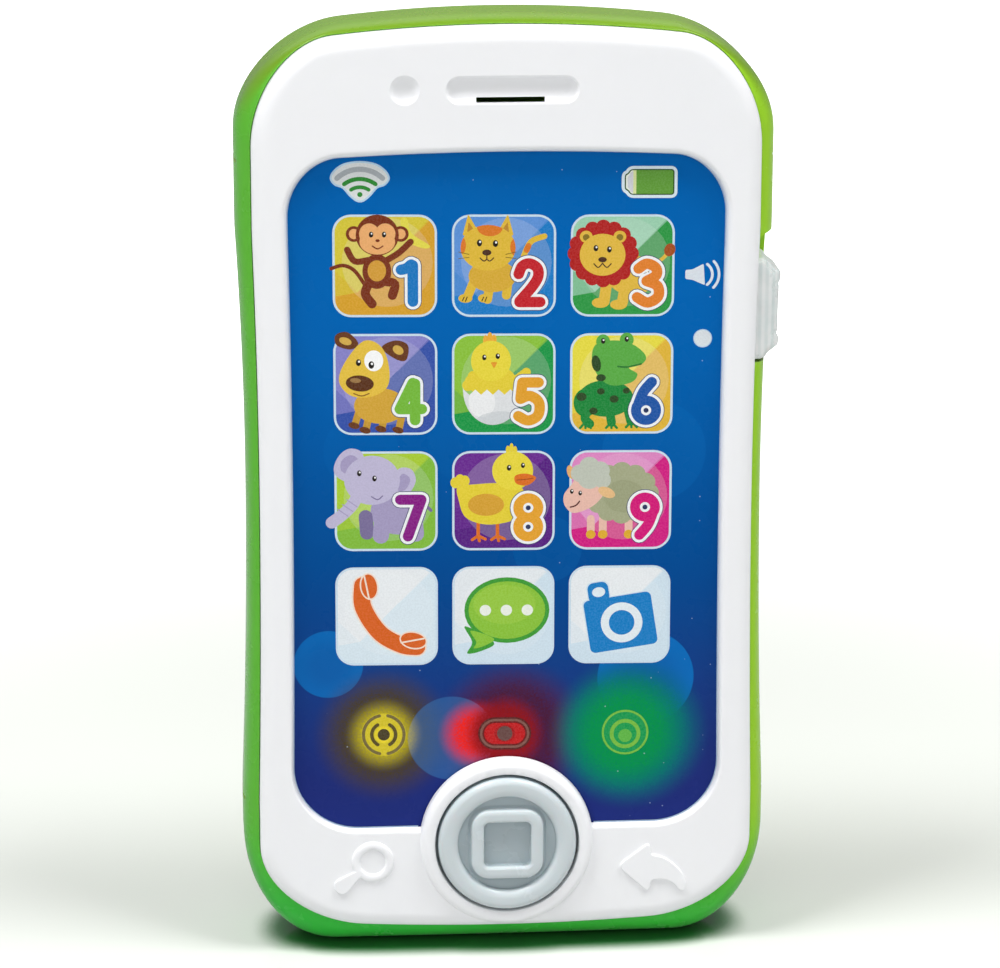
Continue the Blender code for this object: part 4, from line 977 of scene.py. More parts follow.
# Tinted patches round the lamps and their bright cores: lamp, shift in x, ink, reach, full radius.
HALOS = (("yellow", 0.0, "4c4028", 12.6, 6.0), ("red", 1.0, "4e1c38", 14.0, 6.5),
         ("green", 0.6, "066c78", 14.2, 8.0))
CORES = (("yellow", 0.0, "c8b81c", 6.9, 2.0), ("red", -5.0, "dc241c", 6.6, 2.4),
         ("red", 0.0, "84141a", 7.4, 4.0), ("green", 0.0, "048645", 12.0, 5.0))


def skewed(x, z):
    """The print lies very slightly askew on the film."""
    return x, z - PRINT_SKEW * x


def lamp_centre(name, shift=0.0):
    x, z = skewed(LAMPS[name].x + LAMP_SHIFT + shift, LAMPS[name].z + LAMP_RISE)
    return (x, FILM_FRONT, z)


def printed_film():
    """Blue print: a fade to indigo, pale discs, three printed bright patches round the lamps with a painted
    glow, and fine white dust.
    """
    finish = Finish("printed_film")
    height = finish.axis("Z")
    colour = finish.mix(finish.spread(height, 0.112, 0.058), "0064b4", "004a92")
    colour = finish.mix(finish.spread(height, 0.070, 0.026), colour, "202e78")
    for x, z, radius, strength in BOKEH:
        away = finish.distance((x, FILM_FRONT, z))
        disc = finish.spread(away, (radius + 0.08) * MM, (radius - 0.08) * MM, 0.0, strength)
        rim_lift = finish.spread(away, 0.3 * radius * MM, radius * MM, 0.75, 1.0)
        colour = finish.mix(finish.product(disc, rim_lift), colour, "0c74c4")
    stipple = finish.patchy(2600.0, 2.0, 0.80, 1.12, rough=0.8)
    x, z, radius = NEAR_DISC
    near = finish.distance((x, FILM_FRONT, z))
    near = finish.spread(near, (radius + 0.1) * MM, (radius - 0.1) * MM, 0.0, 0.42)
    for name, shift, code, reach, full in HALOS:
        away = finish.distance(lamp_centre(name, shift))
        halo = finish.spread(away, reach * MM, full * MM, 0.0, 0.96)
        colour = finish.mix(finish.math("MULTIPLY", halo, stipple, clamp=True), colour, code)
    colour = finish.mix(near, colour, "3c78b8")
    # Painted glow: the bright cores round the lamps make the film itself glow a little.
    painted_glow = 0.0
    for name, shift, code, reach, full in CORES:
        away = finish.distance(lamp_centre(name, shift))
        light = finish.math("MULTIPLY", finish.spread(away, reach * MM, full * MM), stipple, clamp=True)
        colour = finish.mix(light, colour, code)
        painted_glow = finish.math("MAXIMUM", painted_glow, light)
    colour = finish.mix(dust(finish), colour, "c8dcf4")
    film_gloss(finish)
    return finish.set(Base_Color=colour, Emission_Color=colour,
                      Emission_Strength=finish.product(painted_glow, 0.22))


def dust(finish):
    """Sparse bright specks, most of them near the lower right."""
    cells = finish.add("ShaderNodeTexVoronoi", {"Vector": finish.coords, "Scale": 900.0})
    dot = finish.spread(cells.outputs["Distance"], 0.12, 0.05)
    chance = finish.add("ShaderNodeSeparateColor", {0: cells.outputs["Color"]}).outputs["Red"]
    right = finish.spread(finish.axis("X"), -0.02, 0.03, kind="LINEAR")
    low = finish.spread(finish.axis("Z"), 0.110, 0.055)
    crowd = finish.product(finish.product(right, low), 0.14)
    kept = finish.math("GREATER_THAN", finish.math("ADD", chance, crowd), 0.985)
    return finish.product(finish.product(dot, kept), 0.6)


def make_screen_film(finish):
    """The printed sheet behind the window, with a round opening for the home button."""
    sheet = grown(outline_points(WINDOW), FILM_LAP)
    mesh = solid([level(sheet, FILM_FRONT), level(sheet, FILM_BACK)])
    opening = prism(oval(HOME.x, HOME.z, OPENING_R, steps=96), FILM_FRONT - 2.0, FILM_BACK + 2.0)
    data = carve(data_from(mesh, "film"), (("DIFFERENCE", solid(opening)),))
    return show("screen_film_sheet", data, [finish], "casing", ["screen_film"])


# ================================================================ flat print

class Art:
    """Flat shapes, each painted over the ones before it, in a tile's own millimetres."""

    def __init__(self):
        self.shapes = []

    def fill(self, points, code, alpha=1.0, inside=None):
        """Paint a polygon; with inside, only where an earlier shape also lies."""
        self.shapes.append((np.array(points, float), np.array(rgb(code)), alpha, inside))
        return len(self.shapes) - 1

    def disc(self, x, z, wide, tall, code, turn=0.0, alpha=1.0, inside=None, steps=32):
        """Paint an ellipse from its half width and half height."""
        return self.fill(oval(x, z, wide, tall, steps, turn), code, alpha, inside)

    def discs(self, code, *rows, **options):
        """Paint several ellipses in one ink, each given as (x, z, half width, half height)."""
        for row in rows:
            self.disc(*row, code, **options)

    def dots(self, code, radius, *places, **options):
        for place in places:
            self.disc(*place, radius, radius, code, **options)

    def wreath(self, centre, reach, count, size, code, steps):
        """A closed ring of small discs round a centre."""
        for step in range(count):
            angle = 2.0 * math.pi * step / count
            self.disc(centre[0] + reach[0] * math.sin(angle), centre[1] + reach[1] * math.cos(angle),
                      *size, code, steps=steps)

    def blob(self, points, code, steps=5):
        self.fill(smooth_line(points, steps, closed=True), code)

    def line(self, points, width, code, steps=5):
        self.fill(ribbon(smooth_line(points, steps), width), code)

    def lines(self, code, width, *paths):
        for path in paths:
            self.line(path, width, code)

    def eyes(self, *places, size=0.42):
        """Dark eyes, each with a small white glint."""
        for x, z in places:
            self.disc(x, z, size * 0.85, size * 1.15, "1e1612", steps=18)
            self.disc(x + 0.2 * size, z + 0.35 * size, 0.34 * size, 0.38 * size, "ffffff", steps=12)


def covers(polygon, places):
    """Which places lie inside a polygon, by counting the edges to their right."""
    x, z = places[:, 0:1], places[:, 1:2]
    x0, z0 = polygon[:, 0], polygon[:, 1]
    x1, z1 = np.roll(x0, -1), np.roll(z0, -1)
    spans = (z0 > z) != (z1 > z)
    rise = np.where(z1 == z0, 1.0, z1 - z0)
    crossing = x0 + (z - z0) * (x1 - x0) / rise
    return (np.sum(spans & (x < crossing), axis=1) % 2) == 1


def print_sheet(name, art, centre, finish):
    """One flat sheet of print: every shape's edge is cut into it, and each face has one ink."""
    points = []
    edges = []
    for polygon, _, _, _ in art.shapes:
        start = len(points)
        count = len(polygon)
        points += [Vector(point) for point in polygon]
        edges += [(start + i, start + (i + 1) % count) for i in range(count)]
    verts, _, faces, _, _, _ = delaunay_2d_cdt(points, edges, [], 0, 1e-5, False)
    flat = np.array([tuple(vert) for vert in verts])
    corners = np.array(faces)
    places = flat[corners].mean(axis=1)
    inks = np.zeros((len(corners), 3))
    painted = np.zeros(len(corners), bool)
    hits = []
    for polygon, colour, alpha, inside in art.shapes:
        hit = covers(polygon, places)
        if inside is not None:
            hit &= hits[inside]
        hits.append(hit)
        inks[hit] = inks[hit] * (1.0 - alpha) + colour * alpha
        if inside is None:
            painted |= hit
    mesh = bmesh.new()
    layer = mesh.loops.layers.float_color.new("Ink")
    made = [mesh.verts.new((x + centre[0], FILM_FRONT - INK_LIFT, z + centre[1] - PRINT_SKEW * x))
            for x, z in flat]
    for triangle, ink, keep in zip(corners, inks, painted):
        if keep:
            face = mesh.faces.new([made[i] for i in triangle])
            for loop in face.loops:
                loop[layer] = (*ink, 1.0)
    bmesh.ops.delete(mesh, geom=[vert for vert in mesh.verts if not vert.link_faces], context="VERTS")
    for face in mesh.faces:
        face.normal_update()
        if face.normal.y > 0.0:
            face.normal_flip()
    bmesh.ops.scale(mesh, vec=(MM, MM, MM), verts=mesh.verts)
    data = bpy.data.meshes.new(name)
    mesh.to_mesh(data)
    mesh.free()
    return show(name, data, [finish], "casing", weighted=False)


# ---------------------------------------------------------------- numerals

NUMERAL_CENTRE = (4.1, -2.9)
NUMERAL_WIDE = 3.7
NUMERAL_TALL = 6.3
STROKE = 1.75
LOOPS = {"6": ((0.5, 0.24),), "8": ((0.5, 0.76), (0.5, 0.24)), "9": ((0.5, 0.76),)}
PATHS = {
    "1": (((0.10, 0.86), (0.34, 0.90), (0.55, 1.00)), ((0.62, 0.98), (0.62, 0.02))),
    "2": (((0.04, 0.74), (0.20, 0.95), (0.52, 1.02), (0.86, 0.90), (0.90, 0.68), (0.66, 0.42),
           (0.08, 0.02)), ((0.08, 0.0), (1.0, 0.0))),
    "3": (((0.10, 0.88), (0.46, 1.01), (0.86, 0.90), (0.88, 0.70), (0.46, 0.55)),
          ((0.46, 0.55), (0.94, 0.42), (0.98, 0.14), (0.52, -0.02), (0.04, 0.12))),
    "4": (((0.60, 1.0), (0.02, 0.30)), ((0.02, 0.30), (1.0, 0.30)), ((0.70, 0.98), (0.70, 0.0))),
    "5": (((0.94, 1.0), (0.22, 1.0)), ((0.22, 1.0), (0.14, 0.56)),
          ((0.14, 0.56), (0.56, 0.64), (0.96, 0.46), (0.92, 0.12), (0.48, -0.02), (0.04, 0.10))),
    "6": (((0.74, 1.0), (0.36, 0.72), (0.12, 0.34)),),
    "7": (((0.02, 1.0), (0.96, 1.0)), ((0.96, 1.0), (0.36, 0.0))),
    "8": (),
    "9": (((0.26, 0.0), (0.64, 0.28), (0.88, 0.66)),),
}
LOOP_R = 1.62
OUTLINE_INK, RIM_INK = "2a3560", "f4f6f8"


def numeral_places(points):
    """Points in the numeral's own 0 to 1 box, moved to its place on the tile."""
    left = NUMERAL_CENTRE[0] - 0.5 * NUMERAL_WIDE
    low = NUMERAL_CENTRE[1] - 0.5 * NUMERAL_TALL
    return [(left + x * NUMERAL_WIDE, low + z * NUMERAL_TALL) for x, z in points]


def numeral(art, digit, code):
    """A chunky rounded numeral: a dark line, a white rim and its own colour."""
    loops = numeral_places(LOOPS.get(digit, ()))
    for extra, ink in ((1.16, OUTLINE_INK), (0.92, RIM_INK), (0.0, code)):
        for path in PATHS[digit]:
            art.line(numeral_places(path), STROKE + extra, ink, 1 if len(path) == 2 else 6)
        art.dots(ink, LOOP_R + 0.5 * (STROKE + extra), *loops)
    for spot in loops:
        art.disc(*spot, 0.85, 0.85, RIM_INK, steps=20)
        art.disc(*spot, 0.42, 0.42, OUTLINE_INK, steps=16)


# ---------------------------------------------------------------- tiles

TILE = 17.0
TILE_CORNER = 3.0
COLUMN_PITCH = 19.41
ROW_PITCH = 19.80
FIRST_COLUMN = -19.93
FIRST_ROW = FILM_HIGH.z - 19.6


def tile_base(main, lit):
    """A pale-edged tile in two tones that meet on a diagonal, with a faint disc over them."""
    art = Art()
    art.fill(rounded_box((0.0, 0.0), (TILE, TILE), TILE_CORNER), "cfe2f0")
    inner = art.fill(rounded_box((0.0, 0.0), (TILE - 0.75, TILE - 0.75), TILE_CORNER - 0.4), main)
    art.fill([(-9.0, -5.2), (-9.0, 9.0), (8.4, 9.0), (-4.5, -4.4)], lit, 1.0, inner)
    art.fill([(-9.0, -8.8), (-4.4, -4.4), (-9.0, 0.0)], main, 0.35, inner)
    art.fill([(2.0, 2.2), (9.0, 9.2), (-3.0, 9.2)], lit, 0.6, inner)
    art.disc(0.4, 0.6, 7.4, 7.4, "ffffff", alpha=0.10, inside=inner)
    return art


def monkey(art):
    fur, skin = "7c3216", "f0b070"
    art.blob([(2.6, 7.6), (3.6, 7.9), (4.4, 5.4), (7.3, 3.4), (6.4, 2.9), (3.9, 3.9), (2.9, 5.8)], "e8dc50")
    art.lines(fur, 0.62, [(-3.4, -2.9), (-5.0, -0.7), (-6.8, 0.1), (-8.7, -0.4)])
    art.lines(fur, 1.05, [(-2.6, 1.0), (-4.9, 0.8), (-6.1, 2.7)], [(0.2, 0.9), (2.3, 2.2), (4.2, 4.0)])
    art.lines(fur, 1.5, [(-2.6, -2.8), (-3.2, -4.6), (-2.1, -6.3)], [(0.2, -2.6), (1.6, -3.0), (1.2, -4.9)])
    art.disc(-1.3, -0.9, 2.35, 2.9, fur)
    art.disc(-1.3, -0.8, 1.5, 1.75, "d8a03c")
    for x in (-5.0, 2.6):
        art.disc(x, 5.3, 1.3, 1.3, fur)
        art.disc(x, 5.3, 0.8, 0.85, skin)
    art.disc(-1.2, 5.1, 3.5, 3.4, fur)
    for x in (-2.5, 0.1):
        art.disc(x, 5.3, 1.65, 1.75, skin)
    art.disc(-1.2, 4.0, 2.9, 2.1, skin)
    art.eyes((-2.2, 5.2), (-0.1, 5.2))
    art.disc(-1.15, 4.2, 0.36, 0.24, fur, steps=16)
    art.line([(-2.0, 3.3), (-1.15, 2.85), (-0.3, 3.3)], 0.22, fur)


def cat(art):
    fur, patch = "e4bc3c", "e07a26"
    art.lines(fur, 0.95, [(3.2, 1.6), (4.4, 4.0), (6.6, 4.9)])
    art.lines(patch, 0.95, [(3.7, 2.6), (4.0, 3.3)])
    art.lines(fur, 1.5, [(-5.0, -2.8), (-5.9, -5.0)], [(-2.3, -3.2), (-2.7, -5.6)],
              [(0.6, -3.2), (0.4, -4.9)])
    art.disc(-1.9, -1.7, 3.9, 2.7, "dcae38")
    for x in (-6.3, -3.1):
        art.disc(x, -5.4, 1.15, 0.75, fur)
        art.lines("3a2a18", 0.16, [(x - 0.2, -5.2), (x - 0.5, -5.8)], [(x + 0.3, -5.2), (x, -5.9)])
    for x, lean in ((-5.3, -1.0), (0.1, 1.0)):
        art.fill(rounded([(x - 1.5, 5.0), (x + 0.54 * lean, 8.6), (x + 1.5, 5.0)], 0.4), fur)
        art.fill(rounded([(x - 0.7, 5.5), (x + 0.5 * lean, 7.3), (x + 0.7, 5.5)], 0.3), "c08a30")
    head = art.disc(-2.6, 3.0, 4.5, 3.8, fur)
    art.disc(-2.3, 6.4, 2.1, 1.5, patch, inside=head)
    art.disc(-7.1, 3.4, 0.9, 1.5, patch, inside=head)
    art.disc(1.9, 3.1, 0.9, 1.5, patch, inside=head)
    art.eyes((-4.0, 3.8), (-1.4, 3.7), size=0.5)
    art.disc(-2.8, 2.2, 0.75, 0.5, "4a2c1c")
    art.lines("4a2c1c", 0.2, [(-2.8, 1.9), (-2.8, 1.1)], [(-3.9, 1.3), (-3.3, 0.8), (-2.8, 1.1)],
              [(-2.8, 1.1), (-2.3, 0.8), (-1.7, 1.3)])
    for side in (-1.0, 1.0):
        x = -2.7 + side * 3.0
        art.lines("7a6420", 0.12, [(x, 1.9), (x + 1.7 * side, 2.3)], [(x, 1.4), (x + 1.7 * side, 1.2)])


def lion(art):
    fur, mane = "e6bc44", "b5201e"
    art.lines(fur, 0.6, [(5.4, 0.4), (6.6, 1.2), (7.4, 2.2)])
    art.disc(7.7, 2.6, 0.9, 1.1, "a8501e", turn=-20)
    art.disc(1.6, -1.6, 4.2, 3.3, fur)
    art.lines(fur, 1.8, [(-2.6, -3.0), (-3.0, -6.0)], [(0.4, -3.6), (0.0, -6.2)])
    art.discs(fur, (-3.6, -6.2, 1.4, 0.85), (-0.6, -6.5, 1.4, 0.85))
    art.wreath((-3.2, 2.0), (4.6, 4.4), 16, (1.25, 1.25), mane, steps=16)
    art.disc(-3.2, 2.0, 4.7, 4.5, mane)
    for x in (-6.0, -0.5):
        art.disc(x, 4.8, 1.05, 1.0, fur)
        art.disc(x, 4.7, 0.55, 0.55, "8a7424")
    art.disc(-3.3, 1.8, 3.75, 3.5, fur)
    art.eyes((-4.4, 2.9), (-2.2, 2.7), size=0.46)
    art.disc(-3.3, 1.0, 0.7, 0.45, "4a2c1c")
    art.lines("4a2c1c", 0.2, [(-4.7, 0.3), (-4.0, -0.3), (-3.3, 0.4)],
              [(-3.3, 0.4), (-2.6, -0.3), (-1.9, 0.3)])


def dog(art):
    fur, ear = "e9c344", "6a3a1a"
    for x, z in ((-5.0, -6.6), (-3.2, -7.4), (-0.6, -7.2), (2.2, -7.4)):
        art.lines("c99a34", 1.2, [(x + 0.6, -4.6), (x, z)])
        art.disc(x - 0.2, z - 0.3, 0.95, 0.55, ear, turn=-15)
    art.disc(-0.9, -3.6, 4.3, 3.0, "d8a83a")
    art.lines(ear, 0.9, [(3.2, -2.0), (4.6, -0.7)])
    art.blob([(-4.4, 7.0), (-6.2, 8.8), (-8.1, 8.3), (-7.9, 6.6), (-5.6, 5.9)], ear)
    art.disc(-6.5, 7.3, 1.05, 0.6, "d8b050", turn=-20)
    art.blob([(-0.6, 6.2), (1.6, 7.4), (3.7, 6.6), (3.4, 4.1), (1.6, 4.3)], ear)
    art.disc(2.1, 5.8, 0.95, 0.7, "d8b050", turn=-35)
    art.blob([(-3.6, 7.3), (-0.9, 6.6), (0.5, 3.6), (0.4, -0.2), (-2.2, -2.0), (-5.6, -1.9), (-7.6, 0.5),
              (-6.6, 3.8)], fur, steps=7)
    art.disc(-1.9, 4.0, 1.55, 1.75, "ffffff")
    art.eyes((-4.4, 3.7), size=0.5)
    art.eyes((-2.3, 3.3), size=0.55)
    art.disc(-4.2, 0.2, 2.3, 1.35, "5c3216", turn=-5)
    art.disc(-4.9, 0.7, 0.9, 0.4, "a07a4a", turn=-5)
    art.line([(-5.2, -1.5), (-3.9, -1.9), (-2.7, -1.5)], 0.2, "8a5a24")


def chick(art):
    down = "ead23a"
    for step in range(5):
        climb = 1 if step < 3 else 0.35
        art.disc(-5.9 + 0.45 * step, -0.2 + 0.75 * step * climb, 0.95, 0.95, down, steps=18)
        art.disc(1.9 + 0.45 * step, 0.6 + 0.35 * step, 0.75, 0.75, down, steps=18)
    art.disc(-1.9, 0.4, 4.0, 2.8, down)
    art.discs("f0b03a", (-3.0, 7.4, 0.42, 0.85), (-2.3, 7.9, 0.42, 0.85), (-1.6, 7.5, 0.42, 0.85), steps=16)
    art.disc(-2.1, 3.9, 3.3, 3.4, "eedb40")
    art.eyes((-3.2, 4.5), (-1.0, 4.7))
    art.fill(rounded([(-2.2, 3.7), (-1.0, 3.7), (-1.6, 2.6)], 0.3), "e89a2c")
    shell = [(-6.6, -0.9)]
    for step in range(1, 10):
        shell.append((-6.6 + step * 0.96, -0.9 - (0.9 if step % 2 else 0.0)))
    bowl = arc(-1.8, -0.9, 4.9, 86.0, 274.0, 26, tall=6.0)
    bowl_id = art.fill(shell + bowl, "e4e6e8")
    art.disc(-3.6, -3.0, 2.2, 2.6, "ffffff", alpha=0.5, inside=bowl_id)
    art.disc(-0.4, -6.6, 4.4, 2.0, "c2c8cc", alpha=0.5, inside=bowl_id)


def frog(art):
    skin, dark, spot = "5cae46", "1a8a3c", "2c4a22"
    art.lines(dark, 1.5, [(-4.6, -3.4), (-6.0, -5.6), (-5.2, -6.8)], [(-2.0, -4.0), (-1.6, -6.6)],
              [(1.0, -4.0), (1.6, -6.4)])
    for x, z in ((-5.9, -7.0), (-1.6, -7.0), (1.7, -6.9)):
        for lean in (-0.9, 0.0, 0.9):
            art.lines(dark, 0.42, [(x, z + 0.5), (x + lean, z - 0.5)])
    art.discs(dark, (-2.6, -2.5, 4.6, 3.1), (-5.9, -3.2, 2.0, 2.4))
    for x, z, size in ((-6.6, -2.2, 0.85), (-3.4, -1.3, 0.65), (-1.2, -2.6, 0.75), (-4.6, -4.6, 0.7),
                       (0.8, -1.2, 0.6)):
        art.disc(x, z, size, size * 0.85, spot, steps=18)
    art.blob([(-4.3, 6.6), (-1.2, 7.3), (1.8, 6.6), (3.9, 4.8), (3.5, 3.4), (1.2, 2.7), (2.6, 1.6),
              (1.6, 0.2), (-1.6, -0.3), (-3.8, 1.2), (-4.9, 4.0)], skin, steps=7)
    for x, z in ((-3.1, 7.1), (0.8, 7.4)):
        art.disc(x, z, 1.15, 1.2, skin)
        art.eyes((x, z + 0.1), size=0.42)
    art.line([(3.2, 3.3), (0.9, 2.8), (-0.6, 2.9)], 0.3, "2f7a34")
    art.disc(-4.2, 3.4, 0.75, 1.4, spot, turn=10)
    art.disc(-3.4, 1.0, 0.8, 0.6, spot)


def elephant(art):
    hide, shade, dark = "c3bcd9", "a89ec4", "7d719c"
    art.lines(dark, 0.55, [(6.4, -0.6), (7.4, -1.6)])
    art.disc(2.0, -1.8, 4.6, 3.9, shade)
    art.lines(dark, 2.3, [(-3.4, -2.6), (-3.2, -5.4)])
    art.lines(shade, 2.7, [(-0.6, -2.6), (-0.9, -5.9)], [(4.6, -2.6), (4.9, -5.6)])
    art.blob([(-5.6, 3.4), (-7.8, 4.0), (-8.6, 5.6), (-7.7, 7.8), (-6.0, 9.0), (-4.0, 8.4),
              (-3.6, 6.0)], hide)
    art.blob([(-5.5, 4.6), (-7.3, 5.2), (-7.3, 6.9), (-5.9, 7.9), (-4.6, 7.1)], shade)
    art.blob([(1.2, 3.6), (2.2, 5.6), (4.2, 5.4), (4.9, 3.4), (3.6, 1.2), (1.6, 1.0)], hide)
    art.blob([(1.9, 3.4), (2.8, 4.7), (4.0, 3.7), (3.2, 2.0), (2.0, 1.8)], shade)
    art.fill(ribbon(smooth_line([(-4.4, 1.6), (-5.6, -0.6), (-7.4, -2.4), (-9.0, -3.6)], 8), 2.0), hide)
    for x, z in ((-5.0, 0.6), (-5.7, -0.3), (-6.4, -1.1), (-7.2, -1.9)):
        art.lines(shade, 0.18, [(x - 0.8, z + 0.6), (x + 0.9, z - 0.6)])
    art.disc(-2.3, 3.6, 4.6, 4.2, hide)
    art.eyes((-4.4, 4.8), (-1.9, 3.9), size=0.44)
    art.line([(-2.4, 0.8), (-1.4, 0.3), (-0.6, 0.9)], 0.2, dark)


def duck(art):
    down, wing, beak = "ead338", "dba434", "e07020"
    for x in (-4.2, -1.0):
        art.lines(beak, 0.6, [(x, -3.6), (x, -6.0)])
        art.lines(beak, 0.5, [(x, -6.0), (x - 1.0, -6.7)], [(x, -6.0), (x + 0.2, -6.9)],
                  [(x, -6.0), (x + 1.2, -6.6)])
    art.discs(down, (-8.0, 3.1, 0.8, 0.95), (-7.2, 3.6, 0.8, 0.95), (-6.4, 3.4, 0.8, 0.95), steps=18)
    art.blob([(-7.6, 2.4), (-5.0, 2.8), (0.0, 3.0), (3.0, 2.2), (3.6, -0.6), (2.0, -3.2), (-2.6, -4.1),
              (-6.2, -2.9), (-7.4, 0.0)], down, steps=7)
    art.disc(-2.9, -0.7, 3.0, 1.9, wing)
    art.discs(down, (0.7, 8.6, 0.35, 0.8), (1.3, 9.0, 0.35, 0.8), (1.9, 8.5, 0.35, 0.8), steps=14)
    art.disc(1.5, 5.1, 3.4, 3.3, "eedb40")
    art.eyes((0.9, 5.6), size=0.44)
    art.eyes((3.2, 6.0), size=0.4)
    art.blob([(1.9, 4.2), (3.6, 4.6), (5.4, 3.9), (4.0, 2.6), (2.1, 2.9)], beak)
    art.line([(2.2, 3.5), (3.6, 3.6), (4.9, 3.8)], 0.16, "a84a18")


def sheep(art):
    wool, cap, skin = "a9ad8a", "c3c8ba", "eec0b0"
    for x in (-4.9, -2.9, 1.4):
        art.lines(skin, 1.3, [(x, -3.2), (x, -5.2)])
        art.disc(x, -5.9, 0.8, 0.75, "e4b030")
    art.wreath((0.2, 1.2), (4.5, 3.7), 12, (1.7, 1.6), wool, steps=18)
    art.disc(0.2, 1.2, 5.0, 4.3, wool)
    art.disc(0.6, 0.6, 3.4, 2.8, "979c78", alpha=0.5)
    art.disc(-8.3, 4.8, 0.6, 1.2, "e8b070", turn=15)
    art.blob([(-6.6, 4.8), (-3.4, 4.4), (-2.6, 1.6), (-4.4, -0.9), (-7.6, -2.2), (-9.2, -1.0), (-9.4, 0.9),
              (-8.2, 2.6)], skin, steps=7)
    for x, z, size in ((-6.8, 4.6, 1.5), (-5.2, 5.7, 1.7), (-3.4, 5.0, 1.6), (-3.0, 3.4, 1.4),
                       (-5.2, 3.9, 2.0)):
        art.disc(x, z, size, size, cap, steps=22)
    art.disc(-2.3, 1.3, 1.5, 0.85, "ecc088", turn=-25)
    art.eyes((-8.1, 1.5), (-6.7, 1.2), size=0.36)
    art.line([(-8.3, -1.2), (-7.4, -0.9), (-6.8, -0.2)], 0.24, "5a2a2a")


def handset(art):
    line = smooth_line([(-4.0, 5.4), (-3.9, 1.6), (-1.2, -2.8), (2.4, -5.0), (5.0, -5.4)], 10)
    art.fill(ribbon(line, 3.3), "f7e2cf")
    art.fill(ribbon(line, 2.8), "dd6420")
    for x, z, turn in ((-2.9, 5.2, 8.0), (4.4, -4.2, 78.0)):
        art.disc(x, z, 1.55, 2.35, "f7e2cf", turn=turn)
        art.disc(x, z, 1.3, 2.1, "dd6420", turn=turn)
    art.lines("f7e2cf", 0.28, [(-3.7, 7.0), (-2.9, 3.0)], [(2.4, -4.6), (6.2, -3.9)])


def speech_bubble(art):
    art.blob([(-6.4, -1.8), (-5.2, -4.6), (-6.0, -6.6), (-3.2, -6.0), (-1.6, -4.6)], "3f9e36")
    art.disc(0.6, 0.9, 7.1, 5.7, "3f9e36")
    art.blob([(-5.4, -2.6), (-4.5, -4.6), (-4.9, -5.7), (-3.0, -5.2), (-1.6, -4.0)], "8ec63c")
    art.disc(0.6, 0.9, 6.4, 5.0, "8ec63c")
    art.disc(0.2, 1.9, 5.2, 3.4, "a6d24a", alpha=0.5)
    art.dots("f0f4ea", 0.95, (-3.0, 0.9), (0.5, 0.9), (4.0, 0.9))


def turned(points, degrees):
    """Points turned round the tile's middle."""
    lean = math.radians(degrees)
    return [(x * math.cos(lean) - z * math.sin(lean), x * math.sin(lean) + z * math.cos(lean))
            for x, z in points]


def camera_sign(art):
    for growth, ink in ((0.35, "d7e9f4"), (0.0, "1480c8")):
        body = rounded_box((0.0, -1.4), (11.4 + growth, 9.2 + growth), 0.9)
        finder = rounded_box((-2.9, 4.3), (3.5 + growth, 3.6 + growth), 1.1)
        art.fill(turned(body, 9.0), ink)
        art.fill(turned(finder, 9.0), ink)
    art.disc(-3.5, 3.9, 1.1, 0.85, "e4eff6", turn=9)
    art.disc(0.4, -1.4, 3.5, 3.5, "e8f1f6")
    art.disc(0.4, -1.4, 2.15, 2.15, "1480c8")


TILES = (
    ("1", "dca42c", "dccb3c", "1a7ac4", monkey),
    ("2", "1a7fcb", "5f95dc", "c8202a", cat),
    ("3", "2e9b46", "9fd4b4", "e8842c", lion),
    ("4", "3653ab", "8a86cc", "78bc3c", dog),
    ("5", "189a48", "8fc63e", "e8a42c", chick),
    ("6", "e6b93a", "ecdf45", "1c57a8", frog),
    ("7", "86bf3e", "aed136", "8a1a86", elephant),
    ("8", "5a1f84", "6d2b94", "eba62f", duck),
    ("9", "d61a84", "e38ac6", "d8107a", sheep),
    ("telephone", "dcebf4", "edf1f4", None, handset),
    ("speech", "d4e6f2", "e9eef2", None, speech_bubble),
    ("camera", "d4e6f2", "edf1f4", None, camera_sign),
)


def make_tiles(finish):
    for number, (sign, main, lit, code, picture) in enumerate(TILES):
        art = tile_base(main, lit)
        picture(art)
        if code:
            numeral(art, sign, code)
        row, column = divmod(number, 3)
        centre = skewed(FIRST_COLUMN + COLUMN_PITCH * column, FIRST_ROW - ROW_PITCH * row)
        print_sheet(f"print_tile_{sign}", art, centre, finish)


# ---------------------------------------------------------------- status signs and lamp signs

def signal_sign():
    """A fan of arcs on a pale badge."""
    art = Art()
    side = [(2.6, 3.05), (4.3, 1.85), (4.85, 0.55), (4.1, -0.55), (2.85, -1.05), (1.8, -2.25), (0.8, -3.1)]
    other = [(-x, z) for x, z in reversed(side)]
    badge = smooth_line([(0.0, 3.45), *side, (0.0, -3.35), *other], 4, closed=True)
    art.fill(badge, "bcdcf2")
    art.fill(grown(badge, -0.3), "e6eaea")
    for radius, top, half, width, ink in ((5.3, 2.1, 44.0, 0.85, "b0b6bb"), (4.2, 0.5, 37.0, 0.7, "2f9236"),
                                          (2.6, -0.85, 33.0, 0.62, "2f9236")):
        art.fill(ribbon(arc(0.0, top - radius, radius, -half, half, 16), width), ink)
    art.disc(0.0, -2.05, 0.42, 0.42, "2f9236", steps=18)
    return art


